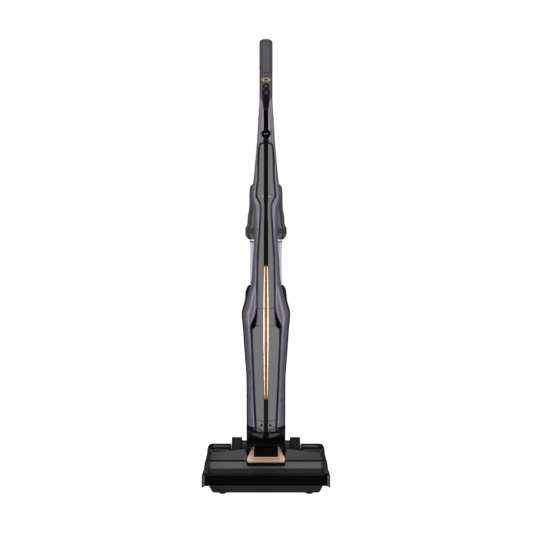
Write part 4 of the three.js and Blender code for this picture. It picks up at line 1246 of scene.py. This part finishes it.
def roller_cover():
    """A smoked window in a black frame over the roller."""
    def top(y):
        return profile([(-119.6, 44.6), (-112, 47.6), (-104, 50.4), (-95, 53), (-75, 57.4), (-50.2, 62.4)])(y)

    half = 138.2
    ys = steps(-119.6, -50.2, 4)
    under = [(-50.2, 50.5)]
    under += [(ROLLER_Y + 26.6 * cos(a), ROLLER_Z + 26.6 * sin(a)) for a in (radians(68 + i * 8)
        for i in range(10))]
    under += [(-119.6, 36)]
    outline = [(y, top(y)) for y in ys] + under

    def window(y0, y1, low, high, reach):
        line = [(y, top(y) + high) for y in steps(y0, y1, 3)]
        line += [(y, top(y) + low) for y in reversed(steps(y0, y1, 3))]
        return prism(line, "x", -reach, reach)

    around_hump = block(-47.2, 47.2, HUMP_FRONT_Y - 0.7, 0, 0, 100)
    piece("roller_hood", prism(outline, "x", -half, half), "roller_cover", BLACK_GLOSS, "roller_cover",
        cut=[window(-113, -53.5, -40, 8, 134.5), around_hump], edges=(0.5, 2, 40))
    piece("hood_window", window(-112.6, -91.6, -2.4, -0.2, 134.1), "roller_cover", WINDOW, edges=(0.4, 2, 50))
    piece("hood_panel", window(-90.8, -53.9, -2.6, 0.2, 134.1), "roller_cover", COLLAR, cut=[around_hump],
        edges=(0.5, 2, 50))
    piece("hood_seam", window(-53.3, -50.4, -1.0, 0.25, 136), "roller_cover", INK, cut=[around_hump])
    # A black pad with rounded corners carries the hump's outline on over the cover.
    pad_edge = prism(rounded([(-46.5, -62.8), (-46.5, -80.5), (46.5, -80.5), (46.5, -62.8)],
        [0.3, 9, 9, 0.3]), "z", 40, 80)
    pad = piece("hood_pad", window(-80.5, -62.8, -1.0, 0.9, 46.4), "roller_cover", INK)
    boolean(pad, "INTERSECT", [pad_edge])
    bevel(pad, 0.4, 2, 50)


def chassis():
    """The CAD chassis keeps its shape, with softened edges."""
    finish_node("head_chassis", BLACK_SATIN, 0.6)


def cheeks():
    """Polished side frames outside the roller."""
    for side, name in SIDES:
        outline = [(-119.8, 44.2), (-95, 53.2), (-49.6, 62.8), (-49.6, 44.4), (-119.8, 28)]
        cheek = prism(rounded(outline, [4, 6, 1, 1, 1]), "x", *span(side, 138.7, 149.2))
        piece(f"cheek_{name}", cheek, "head", BLACK_GLOSS, edges=(1.6, 4))


def bumper():
    """The front bumper, its lip with bevelled ends, and a fine line along its top."""
    bar_outline = rounded([(-128, 20.4), (-128, 47.8), (-120.3, 47.8), (-120.3, 20.4)], [1.5, 2.5, 0.5, 0.5])
    piece("bumper", prism(bar_outline, "x", -HEAD_HALF, HEAD_HALF), "head", INK, "front_bumper",
        edges=(0.8, 3, 50))
    lip = prism(rounded([(-135.5, 20.6), (-126.5, 3.6), (126.5, 3.6), (135.5, 20.6)], [1, 5, 5, 1]), "y",
        -126.6, -120.3)
    piece("bumper_lip", lip, "head", BLACK, edges=(1.2, 3))
    line = prism([(-128.2, 45.6), (-128.2, 46.6), (-126, 46.6), (-126, 45.6)], "x", -139, 139)
    piece("bumper_line", line, "head", GRAPHITE, edges=(0.3, 2))


def side_caps():
    """Grooved caps over the head's ends, with their front flanges and the glide feet."""
    for side, name in SIDES:
        outline = [(-127.6, 15.4), (-64, 15.4), (-62.2, 30), (-66, 43.6), (-124, 43.6), (-127.6, 41)]
        cap = prism(rounded(outline, [2, 4, 4, 4, 3, 2]), "x", *span(side, 149.4, 152.6))
        grooves = [block(*span(side, 152.0, 154), -122, -68, z, z + 1.4) for z in (20, 24.5, 29, 33.5, 38)]
        piece(f"side_bumper_{name}", cap, "head", CAP_GREY, f"side_cap_{name}",
            cut=[joined(*grooves)], edges=(0.8, 2, 50))
        flange = prism([(side * 145, 44.5), (side * 150.8, 44.5), (side * 152.8, 15.2), (side * 145, 18.2)],
            "y", -128.1, -126.2)
        piece(f"side_flange_{name}", flange, "head", CAP_GREY, edges=(0.5, 2))
        middle = side * 103
        foot_outline = rounded([(middle - 5, 0.3), (middle + 5, 0.3), (middle + 9, 3.4), (middle - 9, 3.4)],
            [1.5, 1.5, 0.4, 0.4])
        foot = prism(foot_outline, "y", -126.4, -120.4)
        piece(f"foot_{name}", foot, "head", RUBBER, f"glide_foot_{name}", edges=(0.6, 2, 50))


def squeegee():
    """A blade with a tapered wiping edge."""
    blade = [(-50.3, 15.4), (-47.8, 15.4), (-47.8, 6), (-48.8, 1.6), (-49.4, 1.6), (-50.3, 6)]
    piece("squeegee_blade", prism(blade, "x", -134.8, 134.8), "head", RUBBER, "squeegee", edges=(0.2, 2))


def sole():
    """Ribs and screws under the head, and two screws in the back of the deck."""
    ribs = [block(x - 0.8, x + 0.8, -40, 24, 7.2, 8.4) for x in range(-126, 127, 14)]
    piece("sole_ribs", joined(*ribs), "head", BLACK, edges=(0.3, 2))
    screws("sole_screw", "head", [(x, y, 8.4) for x in (-133, 133) for y in (-36, 20)], "z", 3.2, -1)
    screws("deck_screw", "head", [(side * 112, 59.4, 56) for side in (-1, 1)], "y", 3.0)


def finish_node(name, material, width):
    """Gives a kept CAD node its finish and softens its edges."""
    obj = bpy.data.objects[name]
    obj.data.materials.clear()
    obj.data.materials.append(material)
    mod = obj.modifiers.new("soft_edges", "BEVEL")
    mod.width = width * MM
    mod.segments = 2
    mod.limit_method = "ANGLE"
    mod.angle_limit = radians(40)


WHEEL_X = 73.5


def tyre(side, name, centre):
    """A ribbed tread with four grooves round it and short bars along both shoulders."""
    tread = [(38.9, -12.4), (46.6, -12.4), (47.6, -11.6), (48, -10.2)]
    tread += [(r, -d) for r, d in reversed(tread)]
    tread = [(r, d + side * 1.3 if side * d > 0 else d) for r, d in tread]
    obj = piece(f"tyre_tread_{name}", lathe(tread, "x", centre, 120, True), f"wheel_{name}", RUBBER,
        f"tyre_{name}")
    lines = []
    for d in (-6.3, -2.1, 2.1, 6.3):
        line = [(47.1, d - 0.7), (49, d - 0.7), (49, d + 0.7), (47.1, d + 0.7)]
        lines.append(lathe(line, "x", centre, 120, True))
    subtract(obj, joined(*lines))
    bars = []
    for a in around(60):
        points, faces = block(-1.0, 1.0, 47.3, 49, -0.5, 0.5)
        turn = Matrix.Rotation(a, 3, "X")
        for d in (-9.3, 9.3):
            bars.append(([turn @ Vector((p.x * 1.9 + d, p.z, p.y)) + Vector(centre) for p in points], faces))
    subtract(obj, joined(*bars))
    smooth_by_angle(obj)


def hub(side, name, centre):
    """A stepped disc with six round holes, and a small cap over its middle."""
    body = f"wheel_{name}"
    face = [(4.4, -10.4), (38.6, -10.4), (38.6, 10.3), (36.8, 10.3), (35, 8.2), (16, 7.2), (15, 9.6),
        (11, 10.2), (4.4, 10.2)]
    disc = lathe([(r, side * d) for r, d in face], "x", centre, 96, True)
    holes = []
    for a in around(6):
        spot = (AXLE_Y + 25.5 * cos(a), AXLE_Z + 25.5 * sin(a))
        holes.append(rod("x", 5.6, *span(side, WHEEL_X + 4, WHEEL_X + 14), spot, 32))
    piece(f"hub_disc_{name}", disc, body, BLACK, f"wheel_hub_{name}", cut=[joined(*holes)], smooth=CREASE)
    cap = [(0, 9.8), (9.4, 9.8), (9.4, 11.4), (8.4, 12.2), (3, 12.4), (0, 12.4)]
    cap_shape = lathe([(r, side * d) for r, d in cap], "x", centre, 48)
    piece(f"hub_cap_{name}", cap_shape, body, GRAPHITE, smooth=CREASE)


def wheel_arm(side, name):
    """A disc and its foot in one outline, with a ring-shaped recess on the outside round the axle."""
    arc = [(AXLE_Y + 39.8 * cos(a), AXLE_Z + 39.8 * sin(a))
           for a in (radians(-88 + 230 * i / 60) for i in range(61))]
    outline = arc + [(30.2, 69.8), (30.2, 8.2)]
    recess = loose(*rod("x", 31, *span(side, 59.4, 62), (AXLE_Y, AXLE_Z), 64))
    subtract(recess, rod("x", 12, *span(side, 56, 64), (AXLE_Y, AXLE_Z)))
    piece(
        f"arm_{name}", prism(outline, "x", *span(side, 47.5, 60.4)), "head", BLACK, f"wheel_arm_{name}",
        cut=[recess, rod("x", 4.3, -90, 90, (AXLE_Y, AXLE_Z), 32)], edges=(0.9, 3, 50))


def wheels():
    for side, name in SIDES:
        centre = (side * WHEEL_X, AXLE_Y, AXLE_Z)
        tyre(side, name, centre)
        hub(side, name, centre)
        wheel_arm(side, name)
    low, high = node_box("rear_axle")
    shaft = [(0, low.x), (3.4, low.x), (4, low.x + 0.8), (4, high.x - 0.8), (3.4, high.x), (0, high.x)]
    piece("axle_shaft", lathe(shaft, "x", (0, AXLE_Y, AXLE_Z), 40), "head", STEEL, "rear_axle", smooth=CREASE)


def roller():
    """A plush sleeve with a spiral stripe on a plastic core."""
    rows = []
    for x in steps(-131, 131, 1.5):
        end = min(1.0, (131 - abs(x)) / 3.0)
        base = 21.5 + 2.4 * sqrt(max(0.0, 1 - (1 - end) ** 2))
        row = []
        for a in around(96):
            spiral = 0.5 + 0.5 * cos(3 * a + x * 0.16 * (1 if x < 0 else -1))
            r = base + 0.32 * (spiral ** 3) * end
            row.append(Vector((x, ROLLER_Y + r * cos(a), ROLLER_Z + r * sin(a))))
        rows.append(row)
    piece("roller_plush", loft(rows), "brush_roller", PILE, "roller_sleeve",
        cut=[rod("x", 18.2, -140, 140, (ROLLER_Y, ROLLER_Z), 64)], smooth=60)
    finish_node("roller_core", BLACK, 0.5)


# ---------------------------------------------------------------- handle and controls

HANDLE_RADIUS = 16.2
HANDLE_FRONT_Y = UPRIGHT_Y - HANDLE_RADIUS
POWER_Z, MODE_Z, ACCENT_Z, CLEAN_Z = 981, 966.5, 997, 1010
POCKET_Y = 25.8  # back of the flat pocket that the controls sit in


def handle():
    cap_low = node_box("handle_cap")[0].z
    radius = HANDLE_RADIUS
    tube_outline = [(0, 950.4), (radius - 0.6, 950.4), (radius, 951.2), (radius, cap_low - 0.6),
                    (radius - 0.3, cap_low - 0.3), (0, cap_low - 0.3)]
    piece("handle_grip", lathe(tube_outline, "z", (0, UPRIGHT_Y, 0), 128), "upright", HANDLE_PAINT,
        "handle_tube", cut=[control_prism(8.3, 10.3, -20, POCKET_Y), prism(lozenge(0.4), "y", -20,
        POCKET_Y - 1), prism(triangle(0.4), "y", -20, POCKET_Y - 1)], edges=(0.25, 2, 45))
    rise = 9.4
    dome = [(0, cap_low), (radius, cap_low), (radius, cap_low + 0.3)]
    dome += [(radius * cos(a) ** 0.8, cap_low + 0.3 + rise * sin(a))
        for a in (radians(6 * i) for i in range(1, 15))]
    dome += [(0, cap_low + 0.3 + rise)]
    piece("handle_end", lathe(dome, "z", (0, UPRIGHT_Y, 0), 128), "upright", HANDLE_PAINT, "handle_cap",
        smooth=CREASE)
    # Fine parting lines down both sides of the grip, and a soft pad along its back.
    for side, name in SIDES:
        x = side * (radius - 0.15)
        strip = block(*sorted((x - side * 0.6, x + side * 0.35)), 34.4, 35.6, 1022, 1084)
        piece(f"grip_seam_{name}", strip, "upright", MAUVE_DARK, edges=(0.2, 2))
    rows = []
    for z in steps(965, 1080, 2.5):
        end = min(z - 965, 1080 - z)
        width = radians(38) * sqrt(min(1, end / 9 + 0.04))
        lift = 0.7 if end > 1 else 0.2
        groove = 0.0 if round(z / 2.5) % 3 else -0.4
        row = []
        for i in range(17):
            a = pi / 2 + width * (i / 8 - 1)
            r = HANDLE_RADIUS + (lift + groove) * (1 - ((i / 8 - 1) ** 8))
            row.append(Vector((-r * cos(a), UPRIGHT_Y + r * sin(a), z)))
        rows.append(row)
    piece("grip_pad", grid(rows), "upright", RUBBER, thick=0.6, smooth=60)


def control_outline(power_radius, mode_radius):
    """A figure of eight round the two buttons."""
    gap = POWER_Z - MODE_Z
    along = (mode_radius ** 2 - power_radius ** 2 + gap ** 2) / (2 * gap)
    half = sqrt(mode_radius ** 2 - along ** 2)
    low_start = atan2(along, half)
    high_start = atan2(along - gap, half)
    low = [(mode_radius * cos(a), MODE_Z + mode_radius * sin(a))
           for a in (pi - low_start + (pi + 2 * low_start) * i / 40 for i in range(41))]
    high = [(power_radius * cos(a), POWER_Z + power_radius * sin(a))
            for a in (high_start + (pi - 2 * high_start) * i / 32 for i in range(1, 32))]
    return low + high


def control_prism(power_radius, mode_radius, low, high):
    return prism(control_outline(power_radius, mode_radius), "y", low, high)


def lozenge(grow):
    half, high = 11.5 + grow, 4.4 + grow
    outline = [(-half + 3.4, -high), (half - 3.4, -high), (half, 0), (half - 3.4, high),
        (-half + 3.4, high), (-half, 0)]
    return [(x, z + ACCENT_Z) for x, z in rounded(outline, 2.6, 6)]


def triangle(grow):
    outline = [(0, -6 - grow), (5 + grow, 4.5 + grow), (-5 - grow, 4.5 + grow)]
    return [(x, z + CLEAN_Z) for x, z in rounded(outline, 1.4, 5)]


def controls():
    piece("bezel", control_prism(7.9, 9.9, HANDLE_FRONT_Y - 0.9, POCKET_Y - 0.3), "upright", BLACK_GLOSS,
        "control_bezel", cut=[rod("y", 5.8, 0, 40, (0, POWER_Z), 64), rod("y", 7.8, 0, 40, (0, MODE_Z),
        64)], edges=(0.5, 3, 50))
    front = HANDLE_FRONT_Y
    dish = [(0, 22.9), (5.4, 22.9), (5.4, front + 0.4), (5.0, front - 0.4), (4.2, front - 0.5),
        (3.2, front - 0.1), (0, front + 0.1)]
    piece("power_key", lathe(dish, "y", (0, 0, POWER_Z), 64), "power_button", GRAPHITE, "power_button",
        smooth=CREASE)
    mark = [circle_arc(1.9, 1.45, radians(125), radians(415))]
    mark.append(oblong(0.25, 0.6, 2.5))
    shapes = [prism([(x, z + POWER_Z) for x, z in line], "y", front - 0.2, front + 0.5) for line in mark]
    piece("power_mark", joined(*shapes), "power_button", MARK)
    dish = [(0, 22.9), (7.4, 22.9), (7.4, front - 0.4), (6.9, front - 1.2), (5.8, front - 1.25),
        (4.4, front - 0.8), (0, front - 0.6)]
    piece("mode_key", lathe(dish, "y", (0, 0, MODE_Z), 64), "mode_button", GRAPHITE, "mode_button",
        cut=[rod("y", 8.1, -20, 40, (0, POWER_Z), 64)], smooth=CREASE)
    dots = [rod("y", 0.75, front - 1.1, front, (x, MODE_Z - 2.6), 20) for x in (-2.6, 0, 2.6)]
    piece("mode_marks", joined(*dots), "mode_button", MARK)
    # A cream lozenge with a bronze ring and a sepia centre: the rim a painted highlight, the ring and centre
    # a painted dark reflection.
    piece("accent", prism(lozenge(0), "y", front - 1.3, POCKET_Y - 1.3), "upright", CREAM, "accent_bar",
        edges=(0.9, 4, 50))
    for name, share, proud, finish in (("inlay", 0.66, 1.6, BRONZE), ("core", 0.38, 1.8, SEPIA)):
        inlay = [(x * share, (z - ACCENT_Z) * share + ACCENT_Z) for x, z in lozenge(0)]
        shape = prism(inlay, "y", front - proud, front)
        piece(f"accent_{name}", shape, "upright", finish, edges=(0.3, 2))
    piece("clean_key", prism(triangle(0), "y", front - 0.7, 22.5), "self_clean_button", BLACK_GLOSS,
        "self_clean_button", edges=(0.5, 3, 50))
    dot = rod("y", 1.4, front - 1.05, front, (0, CLEAN_Z + 0.8), 24)
    piece("clean_mark", dot, "self_clean_button", PALE)
    low, high = node_box("release_button")
    y = low.y
    dish = [(0, high.y), (9.3, high.y), (9.3, y + 0.9), (8.7, y + 0.15), (7.9, y), (7.0, y + 0.5),
        (4, y + 0.9), (0, y + 1.0)]
    piece("release_key", lathe(dish, "y", (0, 0, RELEASE_Z), 72), "release_button", INK, "release_button",
        smooth=CREASE)
    bars = [block(x - 1.3, x + 1.3, y + 0.7, y + 1.6, RELEASE_Z - 1.1, RELEASE_Z + 1.1) for x in (-3.6, 0,
        3.6)]
    piece("release_mark", joined(*bars), "release_button", MARK)
    ring = [(9.7, y + 2.2), (9.7, y + 0.6), (10.2, y + 0.2), (11.2, y + 0.6), (11.5, y + 1.6),
        (11.5, y + 4.2), (9.7, y + 4.2)]
    piece("release_rim", lathe(ring, "y", (0, 0, RELEASE_Z), 72, True), "upright", INK, smooth=CREASE)


def control_shadow():
    """A dark sheet over the handle and spine that paints the shadow under the controls, narrowing down to the
    groove.
    """
    rows = []
    for z in steps(922, 960, 3, (950,)):
        half = 5.4 + 5.2 * max(0.0, (z - 922) / 38) ** 1.3
        row = []
        for i in range(17):
            x = half * (i / 8 - 1)
            lift = 0.25 - 0.5 * abs(i / 8 - 1) ** 6
            above = UPRIGHT_Y - sqrt((HANDLE_RADIUS + lift) ** 2 - x * x)
            row.append(Vector((x, above if z > 950 else spine.front_y(x, z, lift), z)))
        rows.append(row)
    piece("control_apron", grid(rows), "upright", CONTROL_SHADE, thick=0.5, smooth=60)


def circle_arc(outer, inner, start, stop):
    """A curved bar's outline between two angles."""
    angles = [start + (stop - start) * i / 24 for i in range(25)]
    outline = [(outer * cos(a), outer * sin(a)) for a in angles]
    return outline + [(inner * cos(a), inner * sin(a)) for a in reversed(angles)]


# ---------------------------------------------------------------- inner parts, kept as the CAD made them

def inner_parts():
    for name, material, width in (
            ("roller_motor", ALLOY, 0.8), ("suction_duct", BLACK, 0.6), ("suction_pipe", BLACK, 0.5),
            ("water_pump", BLACK_SATIN, 1.2), ("motor_mount", RUBBER, 0.8), ("suction_motor", ALLOY, 0.8),
            ("impeller", ALLOY, 0.3), ("motor_filter", FOAM, 0.8), ("battery_pack", CHARCOAL, 2.0),
            ("control_board", BOARD, 0.2)):
        finish_node(name, material, width)
    low, high = node_box("battery_pack")
    bands = [block(low.x - 0.4, high.x + 0.4, low.y - 0.4, high.y + 0.4, z, z + 5) for z in (628, 664, 700)]
    piece("battery_bands", joined(*bands), "upright", BLACK, edges=(0.5, 2))
    low, high = node_box("control_board")
    chips = [block(x - w / 2, x + w / 2, low.y - 1.6, low.y, z, z + h) for x, z, w, h in ((0, 655, 14, 14),
        (-5, 685, 8, 6), (5, 700, 6, 10), (0, 730, 12, 9), (-4, 760, 6, 12))]
    piece("board_chips", joined(*chips), "upright", BLACK, edges=(0.3, 1))
    fins = [rod("z", 29.6, z, z + 2, (0, 60), 48) for z in range(330, 420, 12)]
    piece("motor_fins", joined(*fins), "upright", ALLOY, edges=(0.3, 1))


neck()
swivel()
top_cover()
trim()
roller_cover()
chassis()
cheeks()
bumper()
side_caps()
squeegee()
sole()
wheels()
roller()
handle()
controls()
control_shadow()
inner_parts()


# ---------------------------------------------------------------- floor, light and camera

def stage_floor():
    bpy.ops.mesh.primitive_plane_add(size=80, location=(0, 0, 0))
    floor = bpy.context.object
    floor.name = "floor"
    n = Nodes("pale_floor")
    path = n.add("ShaderNodeLightPath")
    seen = n.math("MAXIMUM", path.outputs["Is Camera Ray"], path.outputs["Is Transmission Ray"])
    pale = n.mix(n.mottle(3.0, 0, 1), rgb(0.84, 0.84, 0.84), rgb(0.86, 0.86, 0.86))
    n.set(
        Base_Color=n.mix(seen, rgb(0.1, 0.1, 0.1), pale),
        Roughness=0.6,
        Emission_Color=rgb(1, 1, 1),
        Emission_Strength=n.ramp(seen, 0, 1, 0.04, 0.98),
    )
    floor.data.materials.append(n.material)
    floor.visible_glossy = False


def softbox(name, place, target, width, height, watts):
    light = bpy.data.lights.new(name, "AREA")
    light.shape = "RECTANGLE"
    light.size, light.size_y = width, height
    light.energy = watts
    obj = bpy.data.objects.new(name, light)
    obj.location = place
    obj.rotation_euler = (Vector(target) - Vector(place)).to_track_quat("-Z", "Y").to_euler()
    bpy.context.scene.collection.objects.link(obj)


def studio():
    """Tall boxes either side of the camera and of the machine, one above, and one high up behind."""
    for side in (-1, 1):
        angle = radians(33)
        place = (side * 2.4 * sin(angle), -2.4 * cos(angle), 0.5)
        softbox(f"front_box_{side}", place, (0, 0, 0.5), 1.1, 2.9, 24)
        softbox(f"side_box_{side}", (side * 2.4, 0.35, 0.8), (0, 0.05, 0.6), 0.5, 2.2, 7)
    softbox("top_box", (0, 0.1, 2.7), (0, 0, 0), 1.8, 1.8, 12)
    softbox("rear_box", (0, 1.25, 3.1), (0, 0.0, 0.3), 2.4, 0.9, 16)
    softbox("deck_strip", (0, 2.5, 1.95), (0, -0.1, 0.06), 0.6, 0.42, 0.4)
    world = bpy.data.worlds.new("studio")
    bpy.context.scene.world = world
    world.use_nodes = True
    tree = world.node_tree
    surface = tree.nodes["Background"]
    surface.inputs["Color"].default_value = (0.9, 0.92, 0.95, 1)
    surface.inputs["Strength"].default_value = 0.07
    white = tree.nodes.new("ShaderNodeBackground")
    white.inputs["Color"].default_value = (1, 1, 1, 1)
    white.inputs["Strength"].default_value = 1.0
    path = tree.nodes.new("ShaderNodeLightPath")
    seen = tree.nodes.new("ShaderNodeMath")
    seen.operation = "MAXIMUM"
    tree.links.new(path.outputs["Is Camera Ray"], seen.inputs[0])
    tree.links.new(path.outputs["Is Transmission Ray"], seen.inputs[1])
    mix = tree.nodes.new("ShaderNodeMixShader")
    tree.links.new(seen.outputs[0], mix.inputs[0])
    tree.links.new(surface.outputs[0], mix.inputs[1])
    tree.links.new(white.outputs[0], mix.inputs[2])
    tree.links.new(mix.outputs[0], tree.nodes["World Output"].inputs["Surface"])
    bpy.context.scene.view_settings.view_transform = "Standard"


def camera():
    """A straight front view from a little above the middle of the machine."""
    data = bpy.data.cameras.new("camera")
    data.lens = 72.5
    data.sensor_width = 36
    data.shift_x = 0.001
    obj = bpy.data.objects.new("camera", data)
    obj.location = (0, -2.65, 0.62)
    obj.rotation_euler = (radians(90 - 1.83), 0, 0)
    bpy.context.scene.collection.objects.link(obj)
    bpy.context.scene.camera = obj


stage_floor()
studio()
camera()
